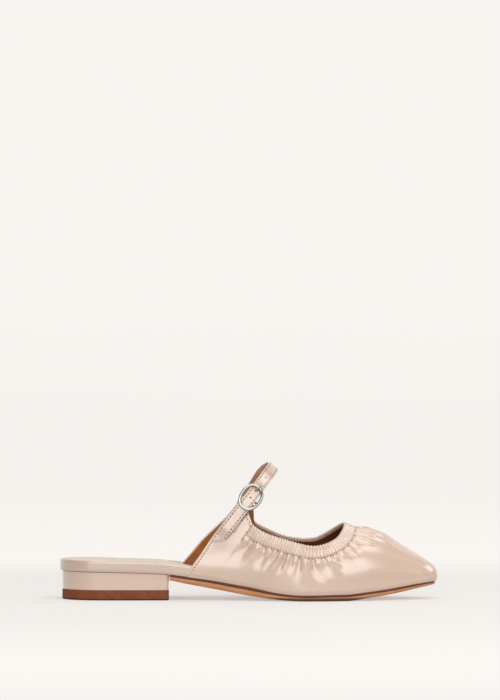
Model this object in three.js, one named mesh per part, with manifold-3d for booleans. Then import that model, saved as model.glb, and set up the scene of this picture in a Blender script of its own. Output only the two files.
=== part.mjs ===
// A right-foot mule with a buckled instep strap, a gathered topline and a low block heel.
// Millimetres. +X runs to the toe, -Y is the lateral (buckle) side, +Z is up from the floor.

import * as THREE from "three";
import Module from "manifold-3d";

const wasm = await Module();
wasm.setup();

// Last and sole
const LENGTH = 258;
const BALL_WIDTH = 78;
const INSTEP_HEIGHT = 83;
const HEEL_RISE = 15.6;
const TOE_SPRING = 10;
const SOLE_THICKNESS = 4;
const HEEL_LENGTH = 75;
const HEEL_ROUND = 27;
const TOE_ROUND = 14;
const TOE_FULLNESS = 2.2;
const TOE_EDGE = 3.6;

// Walls, steps and clearances
const PIECE_GAP = 0.3;
const UPPER_WALL = 1.6;
const BAND_WIDTH = 8;
const BAND_RAISE = 0.9;
const RAND_HEIGHT = 7.8;
const RAND_WALL = 1.7;
const SOCK_HEIGHT = 7.4;
const SOLE_INSET = 0.5;
const SOLE_TIP_INSET = 1.4;
const SOLE_STEP = 0.5;

// Heel block
const TOP_PIECE_HEIGHT = 6.7;
const TOP_PIECE_PROUD = 0.4;
const HEEL_INSET = 1.4;
const HEEL_TAPER = 0.5;
const HEEL_CORNER = 6;
const BREAST_HOLLOW = 1.2;

// Strap and buckle
const STRAP_WIDTH = 8.4;
const STRAP_THICKNESS = 1.4;
const STRAP_CHAMFER = 1.6;
const STRAP_END_DROP = 1.6;
const STRAP_SWAY = 3;
const TAB_THICKNESS = 1.1;
const TAB_LENGTH = 24;
const TAB_OVERHANG = 2.2;
const BUCKLE_LENGTH = 19;
const BUCKLE_WIDTH = 14.8;
const FRAME_WIRE = 1.6;
const BAR_WIRE = 1.2;
const PRONG_WIRE = 1.2;
const HOLE_LENGTH = 4.2;
const HOLE_WIDTH = 2;
const HOLE_AHEAD = 0.3 * BUCKLE_LENGTH;
const FRAME_SPARE = 0.15;
const TIP_SPARE = 0.04;

// Sole line, a row per station along LENGTH: rise is a share of HEEL_RISE, spring of TOE_SPRING,
// thick of SOLE_THICKNESS and bed, the sock on the sole, of SOCK_HEIGHT
const SOLE_ROWS = [
  { at: 0.0, rise: 1.0, spring: 0, thick: 1.0, bed: 1.0 },
  { at: 0.078, rise: 0.974, spring: 0, thick: 1.0, bed: 1.0 },
  { at: 0.202, rise: 0.929, spring: 0, thick: 1.0, bed: 0.93 },
  { at: 0.271, rise: 0.885, spring: 0, thick: 0.98, bed: 0.9 },
  { at: 0.292, rise: 0.862, spring: 0, thick: 0.96, bed: 0.86 },
  { at: 0.331, rise: 0.731, spring: 0, thick: 1.15, bed: 0.78 },
  { at: 0.419, rise: 0.462, spring: 0, thick: 1.38, bed: 0.6 },
  { at: 0.495, rise: 0.237, spring: 0, thick: 1.36, bed: 0.48 },
  { at: 0.571, rise: 0.07, spring: 0, thick: 1.05, bed: 0.42 },
  { at: 0.621, rise: 0.012, spring: 0, thick: 0.94, bed: 0.4 },
  { at: 0.64, rise: 0, spring: 0, thick: 0.94, bed: 0.4 },
  { at: 0.75, rise: 0, spring: 0, thick: 1.05, bed: 0.4 },
  { at: 0.815, rise: 0, spring: 0.2, thick: 0.92, bed: 0.4 },
  { at: 0.857, rise: 0, spring: 0.35, thick: 0.87, bed: 0.38 },
  { at: 0.9, rise: 0, spring: 0.54, thick: 0.8, bed: 0.36 },
  { at: 0.942, rise: 0, spring: 0.77, thick: 0.66, bed: 0.34 },
  { at: 1.0, rise: 0, spring: 1.05, thick: 0.48, bed: 0.3 },
];

// Last, a row per station along LENGTH: lateral, medial and bulge are shares of BALL_WIDTH, ridge is
// the height over the sole as a share of INSTEP_HEIGHT, square is how full the section is
const LAST_ROWS = [
  { at: 0.0, lateral: 0.34, medial: 0.34, ridge: 1.3, bulge: 0.015, square: 2.2 },
  { at: 0.17, lateral: 0.359, medial: 0.359, ridge: 1.3, bulge: 0.02, square: 2.2 },
  { at: 0.29, lateral: 0.347, medial: 0.327, ridge: 1.3, bulge: 0.03, square: 2.2 },
  { at: 0.35, lateral: 0.344, medial: 0.293, ridge: 1.29, bulge: 0.036, square: 2.15 },
  { at: 0.419, lateral: 0.353, medial: 0.277, ridge: 1.225, bulge: 0.042, square: 2.1 },
  { at: 0.495, lateral: 0.404, medial: 0.316, ridge: 1.125, bulge: 0.036, square: 2.05 },
  { at: 0.562, lateral: 0.473, medial: 0.39, ridge: 1.0, bulge: 0.03, square: 2.0 },
  { at: 0.62, lateral: 0.517, medial: 0.452, ridge: 0.87, bulge: 0.028, square: 2.0 },
  { at: 0.65, lateral: 0.525, medial: 0.474, ridge: 0.805, bulge: 0.028, square: 2.0 },
  { at: 0.698, lateral: 0.514, medial: 0.488, ridge: 0.692, bulge: 0.026, square: 2.05 },
  { at: 0.751, lateral: 0.476, medial: 0.468, ridge: 0.572, bulge: 0.026, square: 2.1 },
  { at: 0.778, lateral: 0.448, medial: 0.441, ridge: 0.535, bulge: 0.024, square: 2.15 },
  { at: 0.815, lateral: 0.404, medial: 0.396, ridge: 0.505, bulge: 0.02, square: 2.2 },
  { at: 0.857, lateral: 0.345, medial: 0.332, ridge: 0.447, bulge: 0.016, square: 2.2 },
  { at: 0.89, lateral: 0.296, medial: 0.278, ridge: 0.365, bulge: 0.014, square: 2.2 },
  { at: 0.922, lateral: 0.247, medial: 0.229, ridge: 0.291, bulge: 0.012, square: 2.25 },
  { at: 0.953, lateral: 0.203, medial: 0.188, ridge: 0.219, bulge: 0.01, square: 2.3 },
  { at: 0.985, lateral: 0.166, medial: 0.153, ridge: 0.141, bulge: 0.008, square: 2.4 },
  { at: 1.0, lateral: 0.15, medial: 0.138, ridge: 0.1, bulge: 0.006, square: 2.5 },
];

// Edges of the quarters seen from each side, a row per point: at is a share of LENGTH, up is the
// height over the sole as a share of INSTEP_HEIGHT
const LATERAL_EDGES = {
  rear: [
    { at: 0.315, up: -0.13 },
    { at: 0.338, up: 0.0 },
    { at: 0.354, up: 0.096 },
    { at: 0.369, up: 0.165 },
    { at: 0.386, up: 0.254 },
    { at: 0.406, up: 0.357 },
    { at: 0.428, up: 0.459 },
    { at: 0.451, up: 0.569 },
    { at: 0.465, up: 0.636 },
  ],
  topline: [
    { at: 0.495, up: 0.622 },
    { at: 0.504, up: 0.55 },
    { at: 0.511, up: 0.504 },
    { at: 0.526, up: 0.478 },
    { at: 0.551, up: 0.456 },
    { at: 0.59, up: 0.436 },
    { at: 0.628, up: 0.411 },
    { at: 0.663, up: 0.389 },
    { at: 0.692, up: 0.396 },
    { at: 0.715, up: 0.42 },
    { at: 0.732, up: 0.45 },
    { at: 0.744, up: 0.49 },
    { at: 0.751, up: 0.535 },
    { at: 0.7535, up: 0.585 },
    { at: 0.754, up: 0.7 },
  ],
};
const MEDIAL_EDGES = {
  rear: [
    { at: 0.277, up: -0.13 },
    { at: 0.306, up: 0.0 },
    { at: 0.33, up: 0.106 },
    { at: 0.352, up: 0.195 },
    { at: 0.374, up: 0.287 },
    { at: 0.409, up: 0.41 },
    { at: 0.434, up: 0.496 },
    { at: 0.458, up: 0.593 },
    { at: 0.482, up: 0.71 },
  ],
  topline: [
    { at: 0.512, up: 0.68 },
    { at: 0.51, up: 0.607 },
    { at: 0.512, up: 0.53 },
    { at: 0.524, up: 0.5 },
    { at: 0.558, up: 0.469 },
    { at: 0.583, up: 0.447 },
    { at: 0.615, up: 0.43 },
    { at: 0.653, up: 0.423 },
    { at: 0.68, up: 0.431 },
    { at: 0.703, up: 0.465 },
    { at: 0.722, up: 0.5 },
    { at: 0.738, up: 0.533 },
    { at: 0.748, up: 0.56 },
    { at: 0.7535, up: 0.59 },
    { at: 0.754, up: 0.7 },
  ],
};
const REAR_SAMPLES = 12;
const TOPLINE_SAMPLES = 44;
const THROAT_BLEND = 14;
const BAND_START = { at: 0.487, up: 0.402, lean: 34.5 };

// Strap: its lateral end and its crown as shares of LENGTH and INSTEP_HEIGHT. A row per place from
// the lateral end (-1) over the crown (0): stack and loose say how far it stands off the last, sway
// how much of STRAP_SWAY it lies behind its plane.
const STRAP_END = { at: 0.419, up: 0.342 };
const STRAP_CROWN = 0.562;
const STRAP_MEDIAL_TURN = 0.72;
const BUCKLE_TURN = -0.618;
const LIFT_ROWS = [
  { at: -1.1, stack: 0, loose: 0, sway: 0 },
  { at: -0.98, stack: 0.05, loose: 0.1, sway: 0 },
  { at: -0.91, stack: 0.56, loose: 0.1, sway: 0 },
  { at: -0.82, stack: 0.66, loose: 0.1, sway: 0 },
  { at: -0.7, stack: 1, loose: 0.1, sway: 0 },
  { at: -0.5, stack: 1, loose: 0, sway: 0 },
  { at: -0.2, stack: 0.4, loose: 0.6, sway: 0 },
  { at: 0.0, stack: 0, loose: 1, sway: 0.15 },
  { at: 0.35, stack: 0, loose: 0.5, sway: 1 },
  { at: 0.5, stack: 0, loose: 0, sway: 0.9 },
  { at: 1.0, stack: 0, loose: 0, sway: 0 },
];

// Course of the prong: ahead is millimetres from its hole, up millimetres over the bar and over the
// share of its climb to where it rests on the frame
const PRONG_ROUTE = [
  { ahead: -2.2, up: 0, over: 0 },
  { ahead: -1.3, up: 0.25, over: 0 },
  { ahead: 0.1, up: 1.6, over: 0 },
  { ahead: 1.1, up: -0.2, over: 1 },
  { ahead: 2.2, up: 0, over: 1 },
  { ahead: 4.6, up: 0, over: 1 },
];

// Drop of the bar from the frame's sides: inward is millimetres from the side, depth the share of
// the way down to the bar's level
const BAR_DROP = [
  { inward: 0, depth: 0 },
  { inward: 0.4, depth: 0.4 },
  { inward: 0.9, depth: 0.75 },
  { inward: 1.5, depth: 0.95 },
  { inward: 2.2, depth: 1 },
];

// Mesh density
const LAST_STATIONS = 36;
const SOLE_STATIONS = 30;
const ROUND_STEPS = 9;
const SIDE_STEPS = 13;
const STRAP_STATIONS = 46;
const WIRE_SIDES = 8;

// Slopes that keep a table's curve smooth and free of overshoot.
function steadySlopes(xs, ys) {
  const steps = xs.slice(1).map((x, i) => (ys[i + 1] - ys[i]) / (x - xs[i]));
  return xs.map((x, i) => {
    if (i === 0) return steps[0];
    if (i === xs.length - 1) return steps[i - 1];
    const before = steps[i - 1];
    const after = steps[i];
    return before * after <= 0 ? 0 : (2 * before * after) / (before + after);
  });
}

// Turns one column of a table into a smooth function of its first column.
function column(rows, name) {
  const xs = rows.map((row) => row.at);
  const ys = rows.map((row) => row[name]);
  const slopes = steadySlopes(xs, ys);
  return (at) => {
    const x = Math.min(Math.max(at, xs[0]), xs[xs.length - 1]);
    const i = Math.min(Math.max(xs.findIndex((value) => value > x), 1), xs.length - 1);
    const last = x >= xs[xs.length - 1] ? xs.length - 1 : i;
    const span = xs[last] - xs[last - 1];
    const t = (x - xs[last - 1]) / span;
    const rest = 1 - t;
    return (
      ys[last - 1] * (1 + 2 * t) * rest * rest +
      ys[last] * t * t * (3 - 2 * t) +
      slopes[last - 1] * span * t * rest * rest -
      slopes[last] * span * t * t * rest
    );
  };
}

const riseShare = column(SOLE_ROWS, "rise");
const springShare = column(SOLE_ROWS, "spring");
const thickShare = column(SOLE_ROWS, "thick");
const bedShare = column(SOLE_ROWS, "bed");
const lateralShare = column(LAST_ROWS, "lateral");
const medialShare = column(LAST_ROWS, "medial");
const ridgeShare = column(LAST_ROWS, "ridge");
const bulgeShare = column(LAST_ROWS, "bulge");
const squareness = column(LAST_ROWS, "square");
const stackShare = column(LIFT_ROWS, "stack");
const looseShare = column(LIFT_ROWS, "loose");
const swayShare = column(LIFT_ROWS, "sway");

// Heights of the sole's underside, of its top and of the sock, above the floor.
function underside(x) {
  return HEEL_RISE * riseShare(x / LENGTH) + TOE_SPRING * springShare(x / LENGTH);
}

function seat(x) {
  return underside(x) + SOLE_THICKNESS * thickShare(x / LENGTH);
}

function footbed(x) {
  return seat(x) + PIECE_GAP + SOCK_HEIGHT * bedShare(x / LENGTH);
}

// Falls from 1 to 0 in a round over the last stretch before an end.
function endRound(distance, reach, power) {
  const depth = Math.min(Math.max(1 - distance / reach, 0), 1);
  return (1 - depth ** power) ** (1 / power);
}

// Half the width of the last's outline at its feather line; side is -1 lateral, 1 medial.
function halfWidth(x, side, grow = 0, tip = LENGTH) {
  const share = side < 0 ? lateralShare(x / LENGTH) : medialShare(x / LENGTH);
  const back = endRound(x + grow, HEEL_ROUND, 2);
  const front = endRound(tip + grow - x, TOE_ROUND, TOE_FULLNESS);
  return (BALL_WIDTH * share + grow) * back * front;
}

// Foot and top of the last's section at x; both close in on the middle of the toe's edge.
function sectionHeights(x, grow) {
  const low = seat(x) + PIECE_GAP;
  const high = low + INSTEP_HEIGHT * ridgeShare(x / LENGTH) + grow;
  const middle = low + 0.45 * INSTEP_HEIGHT * ridgeShare(1);
  const close = endRound(LENGTH + grow - x, TOE_EDGE, 2);
  return { low: middle + (low - middle) * close, high: middle + (high - middle) * close };
}

// Distance from the middle plane to the last's surface, where turn is 0 at the feather line and
// a right angle at the ridge.
function sectionReach(x, side, turn, grow) {
  const full = 2 / squareness(x / LENGTH);
  const bulge = BALL_WIDTH * bulgeShare(x / LENGTH) * endRound(LENGTH + grow - x, TOE_ROUND, TOE_FULLNESS);
  return halfWidth(x, side, grow) * Math.cos(turn) ** full + bulge * Math.sin(2 * turn);
}

function lastPoint(x, side, turn, grow) {
  const { low, high } = sectionHeights(x, grow);
  const rise = Math.sin(turn) ** (2 / squareness(x / LENGTH));
  return new THREE.Vector3(x, side * sectionReach(x, side, turn, grow), low + (high - low) * rise);
}

// The same surface asked by height instead of by angle.
function reachAtHeight(x, z, side, grow) {
  const { low, high } = sectionHeights(x, grow);
  const share = Math.min(Math.max((z - low) / (high - low), 0), 1);
  const turn = Math.asin(share ** (squareness(x / LENGTH) / 2));
  return sectionReach(x, side, turn, grow);
}

function triangulateRing(ring) {
  const normal = new THREE.Vector3();
  ring.forEach((point, i) => {
    normal.add(new THREE.Vector3().crossVectors(point, ring[(i + 1) % ring.length]));
  });
  const size = [Math.abs(normal.x), Math.abs(normal.y), Math.abs(normal.z)];
  const drop = size.indexOf(Math.max(...size));
  const flat = ring.map((point) => {
    const kept = point.toArray().filter((value, axis) => axis !== drop);
    return new THREE.Vector2(...kept);
  });
  const turn = Math.sign(THREE.ShapeUtils.area(flat));
  return THREE.ShapeUtils.triangulateShape(flat, []).map((face) => {
    const corner = face.map((index) => flat[index]);
    return Math.sign(THREE.ShapeUtils.area(corner)) === turn ? face : [face[0], face[2], face[1]];
  });
}

// Makes a solid from points and triangles, turned so that its faces look outwards.
function solid(points, triangles) {
  const volume = triangles.reduce((sum, [a, b, c]) => {
    const cross = new THREE.Vector3().crossVectors(points[b], points[c]);
    return sum + points[a].dot(cross);
  }, 0);
  const faces = volume < 0 ? triangles.map(([a, b, c]) => [a, c, b]) : triangles;
  const mesh = new wasm.Mesh({
    numProp: 3,
    vertProperties: Float32Array.from(points.flatMap((point) => point.toArray())),
    triVerts: Uint32Array.from(faces.flat()),
  });
  return new wasm.Manifold(mesh);
}

// A skin through rings of equal count, with flat ends or closed on its first ring.
function loft(rings, closed = false) {
  const count = rings[0].length;
  const triangles = [];
  const steps = closed ? rings.length : rings.length - 1;
  for (let i = 0; i < steps; i += 1) {
    const here = i * count;
    const next = ((i + 1) % rings.length) * count;
    for (let j = 0; j < count; j += 1) {
      const k = (j + 1) % count;
      triangles.push([here + j, here + k, next + j], [here + k, next + k, next + j]);
    }
  }
  if (!closed) {
    const end = (rings.length - 1) * count;
    triangulateRing(rings[0]).forEach(([a, b, c]) => triangles.push([a, c, b]));
    triangulateRing(rings[rings.length - 1]).forEach((face) => {
      triangles.push(face.map((index) => index + end));
    });
  }
  return solid(rings.flat(), triangles);
}

// Stations from one end to the other, ever closer in the stretches that round off its ends.
function stations(from, to, count, toeStretch, heelStretch = 0) {
  const quarter = Array.from({ length: ROUND_STEPS }, (_, i) => (Math.PI / 2) * (i / ROUND_STEPS));
  const start = from + heelStretch;
  const turn = to - toeStretch;
  const heel = heelStretch ? quarter.map((angle) => start - heelStretch * Math.cos(angle)) : [];
  const even = Array.from({ length: count }, (_, i) => start + ((turn - start) * i) / count);
  const toe = [...quarter, Math.PI / 2].map((angle) => turn + toeStretch * Math.sin(angle));
  return [...heel, ...even, ...toe];
}

// The last as a closed form: grow moves its skin out or in, drop carries it down below the sole's top.
function lastForm(grow, drop = 0) {
  const turns = Array.from({ length: SIDE_STEPS + 1 }, (_, i) => (Math.PI / 2) * (i / SIDE_STEPS));
  const tip = LENGTH + grow - TIP_SPARE;
  const rings = stations(0.25 * LENGTH, tip, LAST_STATIONS, TOE_ROUND).map((x) => {
    const lateral = turns.map((turn) => lastPoint(x, -1, turn, grow));
    const medial = turns.slice(0, -1).map((turn) => lastPoint(x, 1, turn, grow)).reverse();
    const ring = [...lateral, ...medial];
    if (!drop) return ring;
    const under = new THREE.Vector3(0, 0, -drop);
    return [ring[0].clone().add(under), ...ring, ring[ring.length - 1].clone().add(under)];
  });
  return loft(rings);
}

function edgePoints(rows, samples) {
  const points = rows.map(({ at, up }) => {
    const x = at * LENGTH;
    return new THREE.Vector2(x, seat(x) + PIECE_GAP + up * INSTEP_HEIGHT);
  });
  return new THREE.SplineCurve(points).getSpacedPoints(samples);
}

// Moves a side-view line to its right-hand side, seen from its start.
function shiftLine(points, distance) {
  return points.map((point, i) => {
    const before = points[Math.max(i - 1, 0)];
    const after = points[Math.min(i + 1, points.length - 1)];
    const run = after.clone().sub(before).normalize();
    return new THREE.Vector2(point.x + run.y * distance, point.y - run.x * distance);
  });
}

// Side-view outline of what is open above the quarters; band moves the topline down into the
// vamp, retreat moves the rear edge back from the quarters.
function openingOutline(edges, band, retreat) {
  const rear = shiftLine(edgePoints(edges.rear, REAR_SAMPLES), -retreat);
  const topline = shiftLine(edgePoints(edges.topline, TOPLINE_SAMPLES), band);
  const top = INSTEP_HEIGHT * 2.4;
  const corners = [
    new THREE.Vector2(topline[topline.length - 1].x, top),
    new THREE.Vector2(-0.2 * LENGTH, top),
    new THREE.Vector2(-0.2 * LENGTH, rear[0].y),
  ];
  return [...rear, ...topline, ...corners];
}

// The opening as a body across the shoe, lateral outline to medial outline.
function openingBody(band = 0, retreat = 0) {
  const lateral = openingOutline(LATERAL_EDGES, band, retreat);
  const medial = openingOutline(MEDIAL_EDGES, band, retreat);
  const place = (outline, y) => outline.map((point) => new THREE.Vector3(point.x, y, point.y));
  return loft([
    place(lateral, -BALL_WIDTH),
    place(lateral, -THROAT_BLEND),
    place(medial, THROAT_BLEND),
    place(medial, BALL_WIDTH),
  ]);
}

// Raised elastic band along the topline, from the ears round the throat.
function bandBody() {
  const lean = THREE.MathUtils.degToRad(BAND_START.lean);
  const x = BAND_START.at * LENGTH;
  const z = seat(x) + BAND_START.up * INSTEP_HEIGHT;
  const across = [Math.cos(lean), 0, -Math.sin(lean)];
  return lastForm(BAND_RAISE)
    .intersect(openingBody(BAND_WIDTH))
    .trimByPlane(across, across[0] * x + across[2] * z);
}

function makeUpper() {
  const skin = lastForm(0).add(bandBody());
  return skin.subtract(lastForm(-UPPER_WALL, 2 * SOLE_THICKNESS)).subtract(openingBody());
}

// Section of a flat piece at x: a ring through its lateral and medial edges, a row per corner
// with in, how far it lies inside the outline, and z.
function edgeRing(x, corners, grow, tip) {
  const lateral = corners.map(({ inset, z }) => {
    return new THREE.Vector3(x, -Math.max(halfWidth(x, -1, grow, tip) - inset, 0.2), z);
  });
  const medial = corners.map(({ inset, z }) => {
    return new THREE.Vector3(x, Math.max(halfWidth(x, 1, grow, tip) - inset, 0.2), z);
  });
  return [...lateral, ...medial.reverse()];
}

function makeOutsole() {
  const tip = LENGTH - SOLE_TIP_INSET;
  const grow = -SOLE_INSET;
  const from = HEEL_LENGTH + PIECE_GAP;
  const flats = [SOLE_ROWS[10].at * LENGTH, SOLE_ROWS[11].at * LENGTH];
  const xs = [...stations(from, tip + grow - TIP_SPARE, SOLE_STATIONS, TOE_ROUND), ...flats].sort((a, b) => a - b);
  const rings = xs.map((x) => {
    const low = underside(x);
    const high = seat(x);
    const step = low + 0.5 * (high - low);
    return edgeRing(
      x,
      [
        { inset: 2 * SOLE_STEP, z: low },
        { inset: SOLE_STEP, z: low + 0.2 * (high - low) },
        { inset: SOLE_STEP, z: step },
        { inset: 0, z: step },
        { inset: 0, z: high },
      ],
      grow,
      tip,
    );
  });
  return loft(rings);
}

function makeInsole() {
  const grow = -Math.max(UPPER_WALL, RAND_WALL) - PIECE_GAP;
  const from = -grow + TIP_SPARE;
  const tip = LENGTH + grow - TIP_SPARE;
  const rings = stations(from, tip, SOLE_STATIONS, TOE_ROUND, HEEL_ROUND).map((x) => {
    const low = seat(x) + PIECE_GAP;
    const high = footbed(x);
    return edgeRing(
      x,
      [
        { inset: 0, z: low },
        { inset: 0, z: high - 0.25 * (high - low) },
        { inset: 1.2, z: high },
      ],
      grow,
      LENGTH,
    );
  });
  return loft(rings);
}

function makeHeelRand() {
  const front = 0.37 * LENGTH;
  const count = 24;
  const angles = Array.from({ length: 2 * count + 1 }, (_, i) => Math.PI * (i / (2 * count)));
  const rings = angles.map((angle) => {
    const side = angle < Math.PI / 2 ? -1 : 1;
    const x = front * (1 - Math.sin(angle) ** 1.6);
    const section = [
      { inset: RAND_WALL, up: 0 },
      { inset: 0.5, up: 0 },
      { inset: 0, up: 0.25 },
      { inset: 0, up: 0.75 },
      { inset: 0.5, up: 0.96 },
      { inset: 1.1, up: 1 },
      { inset: RAND_WALL, up: 0.94 },
    ];
    return section.map(({ inset, up }) => {
      const along = inset + (x * (front - inset)) / front;
      const y = side * halfWidth(along, side, -inset);
      const z = seat(along) + PIECE_GAP + RAND_HEIGHT * up;
      return new THREE.Vector3(along, y, z);
    });
  });
  return loft(rings).intersect(openingBody(0, PIECE_GAP));
}

// Plan outline of the heel, set in from the last's outline, with round front corners.
function heelOutline(inset) {
  const front = HEEL_LENGTH - Math.max(inset - HEEL_INSET, 0);
  const count = 18;
  const xs = Array.from({ length: count + 1 }, (_, i) => {
    return inset + (front - inset) * (0.5 + 0.5 * Math.cos(Math.PI * (i / count)));
  });
  const edge = (x, side) => {
    const left = Math.min(front - x, HEEL_CORNER);
    const corner = HEEL_CORNER - Math.sqrt(HEEL_CORNER ** 2 - (HEEL_CORNER - left) ** 2);
    const y = side * Math.max(halfWidth(x, side, -inset) - corner, 0);
    return new THREE.Vector2(x, y);
  };
  const lateral = xs.map((x) => edge(x, -1));
  const medial = xs.slice(0, -1).map((x) => edge(x, 1)).reverse();
  const hollow = [0.5, 0, -0.5].map((share) => {
    const y = share > 0 ? medial[medial.length - 1].y * share : -lateral[0].y * share;
    return new THREE.Vector2(front - BREAST_HOLLOW * (1 - share ** 2), y);
  });
  return [...lateral, ...medial, ...hollow];
}

function makeHeel() {
  const low = TOP_PIECE_HEIGHT + PIECE_GAP;
  const base = heelOutline(HEEL_INSET + HEEL_TAPER);
  const top = heelOutline(HEEL_INSET);
  return loft([
    base.map((point) => new THREE.Vector3(point.x, point.y, low)),
    top.map((point) => new THREE.Vector3(point.x, point.y, seat(point.x))),
  ]);
}

function makeTopPiece() {
  const outline = heelOutline(HEEL_INSET + HEEL_TAPER - TOP_PIECE_PROUD);
  const ground = heelOutline(HEEL_INSET + HEEL_TAPER);
  return loft([
    ground.map((point) => new THREE.Vector3(point.x, point.y, 0)),
    outline.map((point) => new THREE.Vector3(point.x, point.y, TOP_PIECE_PROUD)),
    outline.map((point) => new THREE.Vector3(point.x, point.y, TOP_PIECE_HEIGHT)),
  ]);
}

// Strap hoop: a slanted plane through the lateral end and the crown of the instep
const hoopLow = new THREE.Vector2(STRAP_END.at * LENGTH, 0);
hoopLow.y = seat(hoopLow.x) + STRAP_END.up * INSTEP_HEIGHT;
const hoopTop = new THREE.Vector2(STRAP_CROWN * LENGTH, 0);
hoopTop.y = sectionHeights(hoopTop.x, 0).high;
const hoopUp = hoopTop.clone().sub(hoopLow).normalize();

// Length of the hoop's plane from its lateral end to the ridge, at a distance across the strap.
function hoopHeight(across, grow) {
  let near = 0;
  let far = 2 * hoopTop.distanceTo(hoopLow);
  for (let i = 0; i < 40; i += 1) {
    const middle = (near + far) / 2;
    const x = hoopLow.x + hoopUp.x * middle + hoopUp.y * across;
    const z = hoopLow.y + hoopUp.y * middle - hoopUp.x * across;
    if (z < sectionHeights(x, grow).high) near = middle;
    else far = middle;
  }
  return near;
}

// A point on the hoop: turn runs from -1 at the lateral end over the crown to 1.
function hoopPoint(turn, across, grow) {
  const aside = across - STRAP_SWAY * swayShare(turn);
  const rise = hoopHeight(aside, grow) * Math.cos((turn * Math.PI) / 2);
  const x = hoopLow.x + hoopUp.x * rise + hoopUp.y * aside;
  const z = hoopLow.y + hoopUp.y * rise - hoopUp.x * aside;
  const side = turn < 0 ? -1 : 1;
  return new THREE.Vector3(x, side * reachAtHeight(x, z, side, grow), z);
}

// Length run at the buckle for each unit of turn, at a height over the last.
function buckleSpeed(grow) {
  const step = 0.01;
  return hoopPoint(BUCKLE_TURN + step, 0, grow).distanceTo(hoopPoint(BUCKLE_TURN, 0, grow)) / step;
}

// Heights of the buckle's bar and of its frame over the last
const barOff = PIECE_GAP + TAB_THICKNESS + PIECE_GAP + BAR_WIRE / 2;
const frameOff = barOff + BAR_WIRE / 2 + STRAP_THICKNESS + 2 * PIECE_GAP + FRAME_WIRE / 2 + FRAME_SPARE;

// Height of the strap's inner face over the last: tab and bar lie beneath it at the buckle.
function strapLift(turn) {
  const stack = TAB_THICKNESS + BAR_WIRE + 2 * PIECE_GAP;
  return PIECE_GAP + stack * stackShare(turn) + looseShare(turn);
}

// A strip between two faces, point(i, j, outer) giving each corner.
function strip(rows, columns, point) {
  const rings = Array.from({ length: rows + 1 }, (_, i) => {
    const inner = Array.from({ length: columns + 1 }, (_, j) => point(i / rows, j / columns, false));
    const outer = Array.from({ length: columns + 1 }, (_, j) => point(i / rows, j / columns, true));
    return [...inner, ...outer.reverse()];
  });
  return loft(rings);
}

function holeBody(distance) {
  const turn = BUCKLE_TURN + distance / buckleSpeed(frameOff);
  const centre = hoopPoint(turn, 0, strapLift(turn));
  const out = hoopPoint(turn, 0, strapLift(turn) + 1).sub(centre).normalize();
  const ahead = hoopPoint(turn + 0.02, 0, strapLift(turn)).sub(centre).normalize();
  const side = new THREE.Vector3().crossVectors(ahead, out).normalize();
  const box = new THREE.Matrix4().makeBasis(ahead, side, out).setPosition(centre);
  const size = [HOLE_LENGTH, HOLE_WIDTH, 4 * STRAP_THICKNESS];
  return wasm.Manifold.cube(size, true).transform(box.elements);
}

function makeStrap() {
  const from = -1.06;
  const band = strip(STRAP_STATIONS, 4, (along, across, outer) => {
    const turn = from + (STRAP_MEDIAL_TURN - from) * along;
    const grow = strapLift(turn) + (outer ? STRAP_THICKNESS : 0);
    return hoopPoint(turn, (across - 0.5) * STRAP_WIDTH, grow);
  });
  const end = hoopLow.y - STRAP_END_DROP;
  const corner = new THREE.Vector2(hoopLow.x - STRAP_WIDTH * 0.5 + STRAP_CHAMFER, end);
  const cut = new THREE.Vector2(1, 0.8).normalize();
  return band
    .subtract(holeBody(HOLE_AHEAD))
    .trimByPlane([0, 0, 1], end)
    .trimByPlane([cut.x, 0, cut.y], cut.dot(corner));
}

function makeBuckleTab() {
  const speed = buckleSpeed(0);
  const top = BUCKLE_TURN + (2 * BAR_WIRE) / speed;
  const foot = top - TAB_LENGTH / speed;
  return strip(12, 4, (along, across, outer) => {
    const turn = foot + (top - foot) * along;
    const width = STRAP_WIDTH + TAB_OVERHANG * (1 - along) ** 2;
    const start = -0.5 * STRAP_WIDTH;
    return hoopPoint(turn, start + width * across, PIECE_GAP + (outer ? TAB_THICKNESS : 0));
  });
}

// A wire along points given as distances from the buckle's centre: along the strap, across it
// and off the last.
function buckleWire(route, radius, closed) {
  const speed = buckleSpeed(frameOff);
  const place = ({ ahead, across, off }) => hoopPoint(BUCKLE_TURN + ahead / speed, across, off);
  const points = route.map(place);
  const out = place({ ahead: 0, across: 0, off: 1 }).sub(place({ ahead: 0, across: 0, off: 0 }));
  out.normalize();
  const last = points.length - 1;
  const rings = points.map((point, i) => {
    const before = closed ? points[(i + last) % points.length] : points[Math.max(i - 1, 0)];
    const after = closed ? points[(i + 1) % points.length] : points[Math.min(i + 1, last)];
    const run = after.clone().sub(before).normalize();
    const right = new THREE.Vector3().crossVectors(run, out).normalize();
    const up = new THREE.Vector3().crossVectors(right, run).normalize();
    return Array.from({ length: WIRE_SIDES }, (_, k) => {
      const angle = (2 * Math.PI * k) / WIRE_SIDES;
      const ring = point.clone().addScaledVector(right, radius * Math.cos(angle));
      return ring.addScaledVector(up, radius * Math.sin(angle));
    });
  });
  return loft(rings, closed);
}

function makeBuckleFrame() {
  const long = (BUCKLE_LENGTH - FRAME_WIRE) / 2;
  const wide = (BUCKLE_WIDTH - FRAME_WIRE) / 2;
  const count = 32;
  const ring = Array.from({ length: count }, (_, i) => {
    const angle = (2 * Math.PI * i) / count;
    return { ahead: long * Math.cos(angle), across: wide * Math.sin(angle), off: frameOff };
  });
  const half = BAR_DROP.map(({ inward, depth }) => {
    return { ahead: 0, across: wide - inward, off: frameOff - (frameOff - barOff) * depth };
  });
  const mirrored = half.map((point) => ({ ...point, across: -point.across }));
  const bar = [...mirrored, ...half.reverse()];
  return buckleWire(ring, FRAME_WIRE / 2, true).add(buckleWire(bar, BAR_WIRE / 2, false));
}

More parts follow.
